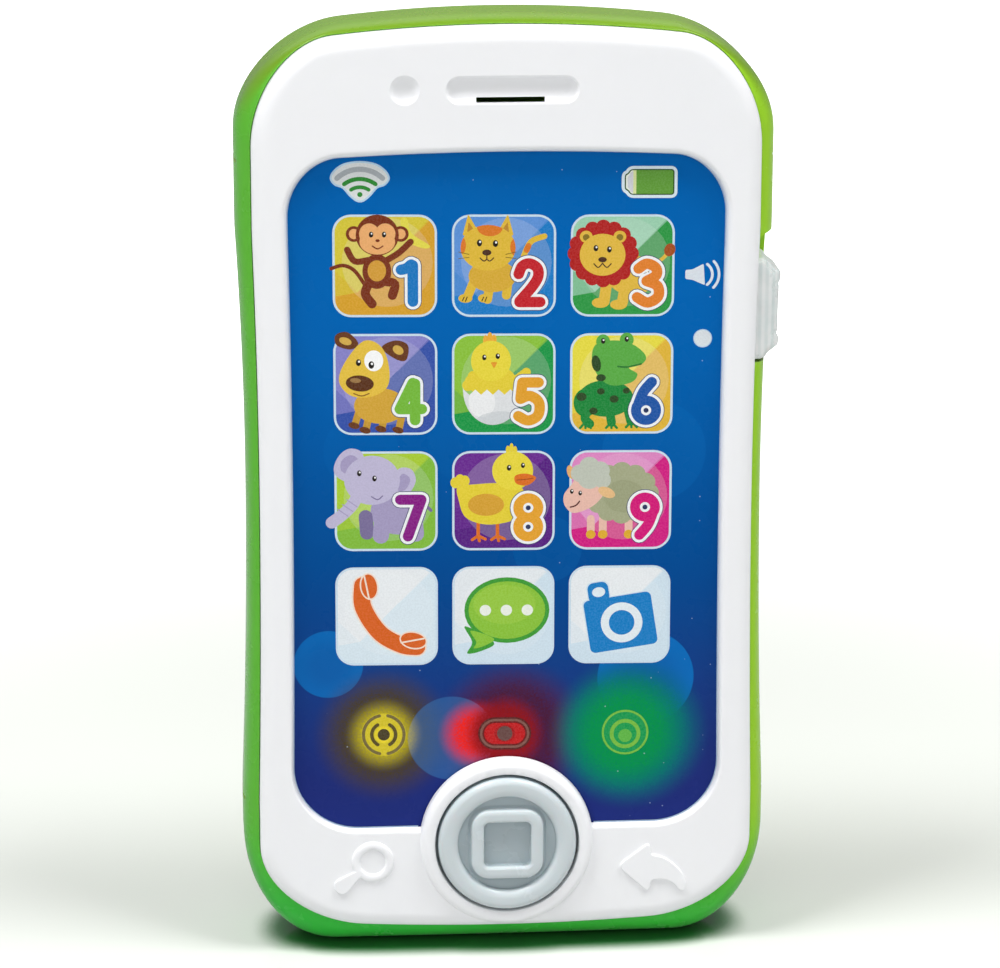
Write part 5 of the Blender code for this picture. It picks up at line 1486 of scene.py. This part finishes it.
def battery_sign():
    """A battery lying on its side, its terminal to the left, nearly full."""
    art = Art()
    case = rounded([(-4.0, -1.2), (-4.0, 1.2), (-3.5, 1.45), (-3.0, 2.14), (4.12, 2.14), (4.12, -2.14),
                    (-3.0, -2.14), (-3.5, -1.45)], 0.6, 6)
    art.fill(grown(case, 0.5), "e2f0f8")
    art.fill(case, "2c5226")
    art.fill(grown(case, -0.2), "68a43e")
    art.fill(rounded([(-3.8, -1.05), (-3.8, 1.05), (-3.35, 1.3), (-2.9, 1.93), (-2.1, 1.93), (-2.1, -1.93),
                      (-2.9, -1.93), (-3.35, -1.3)], 0.25), "f0f5ea")
    art.fill(rounded([(-3.5, -0.8), (-3.5, 0.8), (-3.0, 1.6), (-2.6, 1.85), (-2.6, -1.85), (-3.0, -1.6)],
                     0.3), "dadce2")
    art.fill([(-2.6, -1.93), (-2.6, 1.93), (-2.1, 1.93), (-2.1, -1.93)], "e2eba6")
    return art


def sound_sign():
    """A small horn with two arcs."""
    art = Art()
    art.fill(rounded([(-2.7, 0.75), (-1.5, 0.85), (0.3, 1.8), (0.55, -1.8), (-1.5, -0.9), (-2.7, -0.75)],
                     0.3), "dfe6ee")
    for x, radius, half in ((-0.38, 2.13, 53.0), (-0.29, 3.14, 44.0)):
        art.fill(ribbon(arc(x, 0.0, radius, 90.0 - half, 90.0 + half, 12), 0.45), "dfe9f4")
    return art


def dot_sign():
    art = Art()
    art.disc(0.0, 0.0, 1.55, 1.55, "b9d3ea")
    art.disc(0.0, 0.0, 1.38, 1.38, "dfe5ea")
    return art


def yellow_sign():
    """Two broken rings round a centre."""
    art = Art()
    art.disc(0.0, 0.0, 3.75, 3.75, "d9c62c")
    for start, end in ((12.0, 168.0), (192.0, 348.0)):
        art.fill(ribbon(arc(0.0, 0.0, 3.4, start, end, 22), 0.55), "7a6c3c")
        art.fill(ribbon(arc(0.0, 0.0, 2.0, start + 18.0, end - 18.0, 16), 0.6), "5c5026")
    art.disc(0.0, 0.0, 1.5, 1.5, "ecd62e")
    art.disc(0.0, 0.0, 1.02, 1.02, "4c4226")
    return art


def red_sign():
    """A double rounded bar with a centre."""
    art = Art()
    for wide, tall, ink in ((8.9, 5.7, "5c2220"), (8.3, 5.1, "84584e"), (7.5, 4.3, "6c1a1a"),
                            (6.9, 3.7, "c4181c")):
        art.fill(rounded_box((0.0, 0.0), (wide, tall), 0.5 * tall - 0.01, 12), ink)
    art.disc(0.0, 0.0, 1.75, 1.5, "a81418")
    art.disc(0.0, 0.0, 1.3, 1.3, "6b4a46")
    return art


def green_sign():
    """Two rings round a centre."""
    art = Art()
    for x, z, outer, inner in ((0.0, 0.0, 3.95, 3.6), (0.0, -0.25, 2.6, 1.95)):
        art.disc(x, z, outer, outer, "7cc044")
        art.disc(x, z, inner, inner, "129c52" if inner > 3.0 else "189f50")
    art.disc(0.0, -0.6, 1.15, 1.15, "63ba48")
    return art


def make_signs(finish):
    top = FILM_HIGH.z
    signs = (("print_signal", signal_sign(), (-23.9, top - 5.75)),
             ("print_battery", battery_sign(), (23.1, top - 5.75)),
             ("print_sound", sound_sign(), (31.9, top - 21.1)),
             ("print_dot", dot_sign(), (32.2, top - 31.8)))
    for name, art, centre in signs:
        print_sheet(name, art, skewed(*centre), finish)
    for name, art in (("yellow", yellow_sign()), ("red", red_sign()), ("green", green_sign())):
        x, _, z = lamp_centre(name)
        print_sheet(f"print_lamp_{name}", art, (x, z), finish)


def make_film_edge(finish):
    """A thin pale line along the edge of the window, laid on the film."""
    window = outline_points(WINDOW)
    mesh = bmesh.new()
    layer = mesh.loops.layers.float_color.new("Ink")
    add_skin(mesh, [level(grown(window, reach), FILM_FRONT - INK_LIFT) for reach in (0.3, -0.12)],
             capped=False)
    middles = {face: face.calc_center_median() for face in mesh.faces}
    blocked = [face for face, place in middles.items()
               if math.hypot(place.x - HOME.x, place.z - HOME.z) < OPENING_R + 0.1]
    bmesh.ops.delete(mesh, geom=blocked, context="FACES")
    for face in mesh.faces:
        for loop in face.loops:
            loop[layer] = (*rgb("bcd6ee"), 1.0)
    return show("film_edge_line", data_from(mesh, "edge"), [finish], "casing", weighted=False)


# ================================================================ home button

BUTTON_R = 11.65
FLANGE_R = 13.3
BUTTON_ROUND, BUTTON_DROP = 1.15, 1.1
DISH_R, DISH_ROUND, DISH_DEPTH = 9.2, 1.0, 1.3
SQUARE_SIZE, SQUARE_CORNER = 12.2, 3.1
HOLLOW_SIZE, HOLLOW_CORNER = 7.9, 0.95
SQUARE_ROWS = ((-0.5, 1.9), (-0.5, 1.4), (-0.22, 1.2), (0.0, 0.8), (0.05, 0.35), (0.22, 0.1),
               (0.5, -0.02), (0.85, -0.06))
HOLLOW_ROWS = ((-0.85, -1.0), (-0.62, -0.1), (-0.3, -0.02), (-0.08, 0.14), (0.0, 0.4), (0.02, 1.35),
               (0.2, 1.5))


def button_profile(front, back):
    """The turned cap: stem, flange, rounded rim and dished face."""
    profile = [(0.0, back), (2.5, back), (2.5, back - 2.1), (FLANGE_R, back - 2.1),
               (FLANGE_R, back - 3.3), (BUTTON_R, back - 3.3), (BUTTON_R, front + BUTTON_DROP)]
    for angle in quarter_turn(10, 1):
        profile.append((BUTTON_R - BUTTON_ROUND * (1.0 - math.cos(angle)),
                        front + BUTTON_DROP - BUTTON_DROP * math.sin(angle)))
    profile += [(9.7, front), (9.35, front + 0.03)]
    for angle in quarter_turn(8, 1):
        profile.append((DISH_R - DISH_ROUND * math.sin(angle),
                        front + 0.1 + DISH_DEPTH * (1.0 - math.cos(angle))))
    profile.append((0.0, front + 1.45))
    return profile


def make_home_button(finish):
    """The round cap with a raised rounded square, hollow in its middle."""
    low, high = box_mm("home_button")
    centre = (HOME.x, HOME.z)
    square = square_rings(centre, SQUARE_SIZE, SQUARE_CORNER,
                          [(inset, low.y + rise, inset * 0.8) for inset, rise in SQUARE_ROWS], 10)
    hollow = square_rings(centre, HOLLOW_SIZE, HOLLOW_CORNER,
                          [(inset, low.y + rise, inset * 0.7) for inset, rise in HOLLOW_ROWS], 8)
    flat = box_rings((HOME.x - 9.0, high.y - 3.6, HOME.z - 16.0),
                     (HOME.x + 9.0, high.y - 1.4, HOME.z - 11.35))
    cap = turned_rings(button_profile(low.y, high.y), HOME_AXIS, steps=144)
    data = carve(data_from(solid(cap), "cap"), (
        ("UNION", solid(square)), ("DIFFERENCE", solid(hollow)), ("DIFFERENCE", solid(flat))))
    return show("home_button_cap", data, [finish], "home_button", ["home_button"])


# ================================================================ slide knob

PAD_TERRACES = ((1.75, 0.0), (1.45, 0.06), (1.38, 0.5), (1.2, 0.6), (0.85, 0.64), (0.78, 1.1), (0.6, 1.2),
                (0.3, 1.24), (0.2, 1.6), (0.0, 2.0))
PAD_BACK_EDGE = ((0.0, -0.5), (0.1, -0.22), (0.28, -0.07), (0.55, 0.0))
PAD_CLEARANCE = 0.03
CREST_LEAN = 0.02
TERRACE_IN, TERRACE_SHORTER = 0.95, 0.035


def pad_rings():
    """The thumb pad's rings from front to back, and the x of its inner face."""
    top, bottom = KNOB_HIGH.z - KNOB_END_GAP, KNOB_LOW.z + KNOB_END_GAP
    centre = 0.5 * (top + bottom)
    crest = KNOB_HIGH.x
    foot, head = [half_width(BEZEL, end + KNOB_TRAVEL) + SEAM + PAD_CLEARANCE for end in (bottom, top)]
    wall_lean = (head - foot) / (top - bottom)
    reach = crest - 0.5 * (foot + head)
    half_side = [(1.0, 0.0), (1.9, -0.35), (2.5, -1.1), (3.1, -1.6), (reach - 0.15, -2.3), (reach, -3.1),
                 (reach - 0.1, -3.9), (reach - 0.35, -4.4), (reach - 0.22, -5.0), (reach - 0.25, -8.0)]
    side = [(x, top + z) for x, z in half_side] + [(x, bottom - z) for x, z in reversed(half_side)]
    outline = [(0.0, bottom), (0.0, top)] + smooth_line(side, 5)
    rows = [(inset, KNOB_LOW.y + y) for inset, y in PAD_TERRACES]
    rows += [(inset, KNOB_HIGH.y + y) for inset, y in PAD_BACK_EDGE]
    rings = []
    for inset, y in rows:
        ring = []
        for x, z in outline:
            share = x / reach
            lean = (z - centre) * (wall_lean * (1.0 - share) + CREST_LEAN * share)
            ring.append((crest - reach + lean + x * (1.0 - inset / reach * TERRACE_IN),
                         centre + (z - centre) * (1.0 - TERRACE_SHORTER * inset)))
        rings.append(level(ring, y))
    return rings, crest - reach


def make_slide_knob(finish):
    """A terraced thumb pad with a low ridge near each end, its neck, and the fork behind the wall."""
    rings, inner_face = pad_rings()
    neck = box_rings((37.2, -5.4, 104.4), (inner_face + 0.8, -3.0, 113.4))
    clip = box_rings((KNOB_LOW.x, -6.6, 104.9), (KNOB_LOW.x + 1.5, -1.8, 112.9))
    notch = box_rings((KNOB_LOW.x - 0.8, -5.3, 107.6), (KNOB_LOW.x + 1.1, -3.1, 110.2))
    data = carve(data_from(solid(rings), "pad"), (
        ("UNION", solid(neck)), ("UNION", solid(clip)), ("DIFFERENCE", solid(notch))))
    return show("slide_knob_skin", data, [finish], "slide_knob", ["slide_knob"],
                angle=28.0)


# ================================================================ battery door, cells and screws

DOOR_THICK = 1.4
DOOR_ROUND = 0.35
GRIP_ROWS = 5
GRIP_PITCH = 2.2


def make_battery_door(finish):
    """The door, with a soft edge, a post for its screw and grip grooves at its lower end."""
    outline = door_outline()
    plate = [level(outline, BACK - DOOR_THICK)]
    for angle in quarter_turn(5):
        inset = DOOR_ROUND * (1.0 - math.cos(angle))
        plate.append(level(grown(outline, -inset), BACK - DOOR_ROUND + DOOR_ROUND * math.sin(angle)))
    boss = turned_rings([(0.0, 9.9), (4.0, 9.9), (4.0, BACK - 0.5), (0.0, BACK - 0.5)], DOOR_AXIS, steps=48)
    well = turned_rings([(0.0, 8.0), (1.6, 8.0), (1.6, 11.2), (2.9, 11.2), (2.9, BACK - 0.3),
                         (3.0, BACK - 0.1), (3.25, BACK), (3.4, BACK + 2.0), (0.0, BACK + 2.0)],
                        DOOR_AXIS, steps=64)
    grooves = []
    for row in range(GRIP_ROWS):
        points = rounded_box((0.0, DOOR_LOW.z + 5.0 + GRIP_PITCH * row), (20.0 - 2.4 * row, 0.9), 0.44, 6)
        grooves.append([level(grown(points, growth), BACK + y)
                        for growth, y in ((0.5, 1.0), (0.18, 0.0), (0.0, -0.2), (-0.25, -0.4))])
    data = carve(data_from(solid(plate), "door"), (
        ("UNION", solid(boss)), ("DIFFERENCE", solid(well)), ("DIFFERENCE", solid(*grooves))))
    return show("battery_door_skin", data, [finish], "battery_door", ["battery_door"])


SCREW_STEPS = 48
THREAD_PITCH = 1.1
RINGS_PER_TURN = 8
POINT_TAPER = 1.6
ThreadedScrew = namedtuple("ThreadedScrew", "name head_radius head_height shank_radius length")
CASE_SCREW = ThreadedScrew("case_screw", 2.8, 1.8, 1.3, 16.0)
BOARD_SCREW = ThreadedScrew("board_screw", 2.2, 1.3, 0.9, 7.5)
COVER_SCREW = ThreadedScrew("door_screw", 2.6, 1.3, 1.2, 7.0)


def thread_rings(screw):
    """Rings down the shank that follow a helical ridge and taper off to the point."""
    rings = []
    rows = int(screw.length / THREAD_PITCH * RINGS_PER_TURN)
    for row in range(1, rows + 1):
        y = -screw.length * row / rows
        ring = []
        taper = min(1.0, (screw.length + y) / POINT_TAPER + 0.25)
        for step in range(SCREW_STEPS):
            angle = 2.0 * math.pi * step / SCREW_STEPS
            phase = (y / THREAD_PITCH + step / SCREW_STEPS) % 1.0
            radius = screw.shank_radius * taper * (0.80 + 0.24 * (1.0 - abs(2.0 * phase - 1.0)) ** 2)
            ring.append((radius * math.sin(angle), y, radius * math.cos(angle)))
        rings.append(ring)
    rings.append([(0.0, -screw.length - 0.02, 0.0)])
    return rings


def screw_data(screw):
    """A pan-head screw with a cross recess and a running thread, head towards +Y."""
    head = [(0.0, screw.head_height)]
    for angle in quarter_turn(6):
        head.append((screw.head_radius * (0.55 + 0.45 * math.sin(angle)),
                     screw.head_height * (0.35 + 0.65 * math.cos(angle))))
    head += [(screw.head_radius, 0.0), (screw.shank_radius, 0.0)]
    body = solid(turned_rings(head, steps=SCREW_STEPS) + thread_rings(screw))
    size = 0.62 * screw.head_radius
    arm = 0.2 * size
    floor = screw.head_height - 0.55 * screw.head_height
    cuts = []
    for wide, tall in ((size, arm), (arm, size)):
        deep = rounded_box((0.0, 0.0), (2 * wide * 0.7, 2 * tall * 0.7), 0.12, 3)
        top = rounded_box((0.0, 0.0), (2 * wide, 2 * tall), 0.14, 3)
        slot = [level(deep, floor), level(top, screw.head_height), level(top, screw.head_height + 1.0)]
        cuts.append(("DIFFERENCE", solid(slot)))
    return carve(data_from(body, screw.name), cuts)


def place_screw(screw, data, finish, node, body="casing", facing=1.0):
    """A copy of a screw in its node's place, head towards +Y or, with facing -1, towards -Y."""
    low, high = box_mm(node)
    centre = 0.5 * (low + high)
    head = high.y if facing > 0.0 else low.y
    copy = data.copy()
    for vert in copy.vertices:
        x, y, z = (value / MM for value in vert.co)
        vert.co = Vector((centre.x + facing * x, head + facing * (y - screw.head_height), centre.z + z)) * MM
    show(f"{node}_detail", copy, [finish], body, [node], angle=38.0)


def make_screws(finish):
    case = screw_data(CASE_SCREW)
    for node in CASE_SCREW_NODES:
        place_screw(CASE_SCREW, case, finish, node)
    board = screw_data(BOARD_SCREW)
    for node in ("board_screw_1", "board_screw_2"):
        place_screw(BOARD_SCREW, board, finish, node, facing=-1.0)
    place_screw(COVER_SCREW, screw_data(COVER_SCREW), finish, "battery_door_screw", "battery_door_screw")


CELL_TIP = 0.9
CELL_HOLD = 10.0        # how far below its shoulder the barrel has two loops that hold its shading
UPSIDE_DOWN_CELL = "battery_cell_2"


def cell_profile(radius, length):
    """(radius, height) points from a cell's flat end to its raised one."""
    barrel = length - CELL_TIP
    return [(0.0, 0.15), (3.6, 0.15), (3.9, 0.0), (4.6, 0.0), (radius - 0.35, 0.12), (radius - 0.1, 0.5),
            (radius, 0.9), (radius, barrel - CELL_HOLD), (radius, barrel - CELL_HOLD + 0.1),
            (radius, barrel - 1.2), (radius - 0.06, barrel - 0.7), (radius - 0.3, barrel - 0.2),
            (radius - 0.8, barrel), (radius - 1.1, barrel - 0.25), (2.4, barrel - 0.25), (1.95, barrel),
            (1.9, length - 0.2), (1.7, length), (0.0, length)]


def make_cells(finish):
    """Round plain steel cells; the middle one is upside down."""
    for node in CELL_NODES:
        low, high = box_mm(node)
        centre = 0.5 * (low + high)
        length = high.z - low.z
        flip = -1.0 if node == UPSIDE_DOWN_CELL else 1.0
        profile = cell_profile(0.5 * (high.x - low.x), length)
        start = centre.z - flip * 0.5 * length
        rings = turned_rings([(radius, start + flip * height) for radius, height in profile],
                             (centre.x, centre.y, 0.0), "Z", 72)
        show(f"{node}_detail", data_from(solid(rings), node), [finish], "casing", [node])


# ================================================================ speaker

SPEAKER_AXIS = (SPEAKER.x, 0.0, SPEAKER.z)
CAP_R, CAP_RISE = 3.3, 0.6
CONE_START_R, CONE_DEPTH = 3.4, 1.45
RIPPLES, RIPPLE_HEIGHT = 3.0, 0.06


def make_speaker_cone(finish):
    """A pressed paper cone with rings round a dust cap."""
    low, high = box_mm("speaker_cone")
    radius = 0.5 * (high.x - low.x)
    cap_top = high.y - 0.75
    face = [(0.0, cap_top)]
    for angle in quarter_turn(7, 1):
        face.append((CAP_R * math.sin(angle), cap_top - CAP_RISE * (1.0 - math.cos(angle))))
    for step in range(13):
        share = step / 12
        wave = RIPPLE_HEIGHT * math.sin(2.0 * math.pi * RIPPLES * share)
        face.append((CONE_START_R + (radius - CONE_START_R) * share,
                     high.y - CONE_DEPTH + CONE_DEPTH * share + wave * (1.0 - share)))
    face += [(radius, high.y - 0.3), (CONE_START_R, low.y + 0.2), (2.0, low.y), (0.0, low.y)]
    data = data_from(solid(turned_rings(face, SPEAKER_AXIS)), "cone")
    show("speaker_cone_detail", data, [finish], "speaker_cone", ["speaker_cone"])
    return radius


def make_speaker_surround(finish, cone_radius):
    """The rolled foam edge round the cone."""
    low, high = box_mm("speaker_surround")
    outer = 0.5 * (high.x - low.x)
    inner = cone_radius + 0.3
    foot = low.y + 0.35
    roll = [(inner, low.y), (inner, low.y + 0.4)]
    for step in range(1, 12):
        angle = math.pi * step / 12
        roll.append((0.5 * (inner + outer) - 0.5 * (outer - inner) * math.cos(angle),
                     foot + (high.y - low.y - 0.35) * math.sin(angle)))
    roll += [(outer, foot), (outer, low.y + 0.1)]
    mesh = bmesh.new()
    add_skin(mesh, turned_rings(roll, SPEAKER_AXIS), looped=True)
    show("speaker_surround_detail", data_from(mesh, "surround"), [finish], "casing",
         ["speaker_surround"])


# ================================================================ kept CAD nodes


def make_return_dome(finish):
    """The silicone dome behind the home button."""
    low, high = box_mm("button_return_dome")
    base = high.y
    rows = ((0.0, 0.0), (5.85, 0.0), (6.0, 0.15), (6.0, 0.55), (5.85, 0.7), (4.5, 0.72), (4.1, 0.85),
            (3.75, 1.15), (3.2, 2.0), (2.95, 2.35), (2.75, 2.8))
    profile = [(radius, base - drop) for radius, drop in rows]
    profile += [(2.5, low.y), (0.9, low.y), (0.75, low.y + 0.1), (0.0, low.y + 0.12)]
    data = data_from(solid(turned_rings(profile, HOME_AXIS)), "dome")
    dome = show("button_return_dome_skin", data, [finish], "casing",
                ["button_return_dome"])
    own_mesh(dome)


def dress(finish, *nodes):
    """Give a finish to nodes that keep their CAD mesh."""
    for node in nodes:
        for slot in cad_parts[node].material_slots:
            slot.material = finish


def dress_inside(steel):
    """Finishes for the parts behind the face, and the dome that is modelled again."""
    dress(steel, "slide_switch_body", "speaker_frame", "battery_contact_negative",
          "battery_contact_bridge_low", "battery_contact_bridge_high", "battery_contact_positive")
    dress(circuit_board(), "touch_sensor_board", "main_circuit_board", "slide_switch_board")
    dress(moulded("milky_plastic", "e4e8ea", 0.5, Subsurface_Weight=0.2, Subsurface_Scale=0.002),
          "screen_support_plate")
    dress(moulded("shield_plastic", "ececec", 0.4), "light_shield")
    dress(moulded("black_plastic", "1a1a1c", 0.45, 0.15), "slide_switch_lever", "smoothing_capacitor")
    make_return_dome(moulded("silicone_rubber", "b4b6ba", 0.7, 0.06))
    dress(moulded("epoxy_resin", "141416", 0.22, 0.2), "sound_chip")
    dress(moulded("ferrite", "2c2c2e", 0.55, 0.2), "speaker_magnet")
    dress(moulded("ribbon_sleeve", "b9bbbf", 0.4, 0.05), "touch_ribbon_cable")
    for colour, code in (("yellow", "e6bc28"), ("red", "d8242a"), ("green", "28b048")):
        dress(lens(f"led_{colour}_lens", code), f"led_{colour}")
    for colour, code in (("red", "b01c1c"), ("black", "1c1c1e")):
        dress(moulded(f"{colour}_wire_sleeve", code, 0.4, 0.08), f"battery_wire_{colour}",
              f"speaker_wire_{colour}")


# ================================================================ stage, light and camera

FLOOR_LEVEL = -0.0002
LIT_SPOT = Vector((0.0, 0.0, 0.07))
FLOOR_GREY = (0.52, 0.53, 0.52)      # what the floor throws back on to the phone


def make_stage():
    """A white floor with a painted contact shadow tinted green, fading to plain white further off."""
    finish = Finish("studio_floor")
    seen = finish.add("ShaderNodeLightPath").outputs["Is Camera Ray"]
    paper = finish.mix(finish.noise(2.0, 2.0), "e0e3dd", "e6e8e4")
    # Painted shadow: the floor's own colour turns dark green where the phone is close by, as a contact
    # shadow.
    near = finish.add("ShaderNodeAmbientOcclusion", {"Distance": 0.007}, samples=16)
    paper = finish.mix(finish.spread(near.outputs["AO"], 0.42, 0.93), "2b6434", paper)
    colour = finish.mix(seen, FLOOR_GREY, paper)
    away = finish.distance((0.0, 0.0, 0.0))
    lift = finish.product(finish.spread(away, 0.13, 0.50), seen)
    finish.set(Base_Color=colour, Roughness=0.14, Specular_IOR_Level=0.35, Emission_Strength=lift,
               Emission_Color=(1.0, 1.0, 1.0))
    mesh = bmesh.new()
    bmesh.ops.create_grid(mesh, x_segments=1, y_segments=1, size=4000.0)
    floor = bpy.data.objects.new("studio_floor", data_from(mesh, "studio_floor"))
    floor.data.materials.append(finish.material)
    floor.location.z = FLOOR_LEVEL
    bpy.context.scene.collection.objects.link(floor)


def area_light(name, place, size, power):
    """A soft white panel that faces the phone."""
    lamp = bpy.data.lights.new(name, "AREA")
    lamp.shape = "RECTANGLE"
    lamp.size, lamp.size_y = size
    lamp.energy = power
    holder = bpy.data.objects.new(name, lamp)
    holder.location = place
    holder.rotation_euler = (LIT_SPOT - Vector(place)).to_track_quat("-Z", "Y").to_euler()
    bpy.context.scene.collection.objects.link(holder)


def make_light():
    """Two overhead panels, a broad front fill, a weak back light and a white room."""
    area_light("key_left", (-1.00, -0.50, 2.20), (0.8, 0.8), 39.0)
    area_light("key_right", (0.96, -0.50, 2.20), (0.8, 0.8), 34.0)
    area_light("front_fill", (-0.4, -2.2, 1.1), (1.8, 1.8), 15.0)
    area_light("rim_back", (0.0, 0.9, 0.8), (1.4, 0.6), 1.5)
    world = bpy.data.worlds.new("studio")
    bpy.context.scene.world = world
    world.use_nodes = True
    tree = world.node_tree
    sky = tree.nodes["Background"]
    path = tree.nodes.new("ShaderNodeLightPath")
    tone = tree.nodes.new("ShaderNodeMix")
    tone.data_type = "FLOAT"
    tone.inputs["A"].default_value = 0.30
    tone.inputs["B"].default_value = 1.1
    tree.links.new(path.outputs["Is Camera Ray"], tone.inputs["Factor"])
    tree.links.new(tone.outputs["Result"], sky.inputs["Strength"])
    sky.inputs["Color"].default_value = (1.0, 1.0, 1.0, 1.0)
    scene = bpy.context.scene
    scene.view_settings.view_transform = "Standard"
    scene.cycles.use_denoising = True


CAMERA_DISTANCE = 0.6867
CAMERA_TURN, CAMERA_RISE, CAMERA_ROLL = -4.5, 15.05, 0.10


def make_camera():
    """A long lens slightly to the left of the screen's middle and above it."""
    target = Vector((-1.11, FILM_FRONT, 80.85)) * MM
    azimuth, elevation, roll = (math.radians(angle) for angle in (CAMERA_TURN, CAMERA_RISE, CAMERA_ROLL))
    back = Vector((math.sin(azimuth) * math.cos(elevation), -math.cos(azimuth) * math.cos(elevation),
                   math.sin(elevation)))
    camera = bpy.data.cameras.new("camera")
    camera.lens = 149.83
    camera.sensor_width = 36.0
    holder = bpy.data.objects.new("camera", camera)
    holder.location = target + back * CAMERA_DISTANCE
    facing = (-back).to_track_quat("-Z", "Y")
    holder.rotation_mode = "QUATERNION"
    holder.rotation_quaternion = facing @ Quaternion((0.0, 0.0, 1.0), roll)
    bpy.context.scene.collection.objects.link(holder)
    bpy.context.scene.camera = holder


# ================================================================ assembly

def build():
    """Everything that is seen, from the casing inwards, and then the studio."""
    green = green_plastic()
    white = white_plastic()
    steel = plated_steel()
    ink = film_ink()
    make_rear_shell(green)
    make_front_bezel(white)
    make_screen_film(printed_film())
    make_tiles(ink)
    make_signs(ink)
    make_film_edge(ink)
    make_home_button(grey_plastic())
    make_slide_knob(frosted_plastic())
    make_battery_door(green)
    make_screws(steel)
    make_cells(cell_steel())
    cone, foam = paper_cone(), foam_rubber()
    make_speaker_surround(foam, make_speaker_cone(cone))
    dress_inside(steel)
    make_stage()
    make_light()
    make_camera()


build()
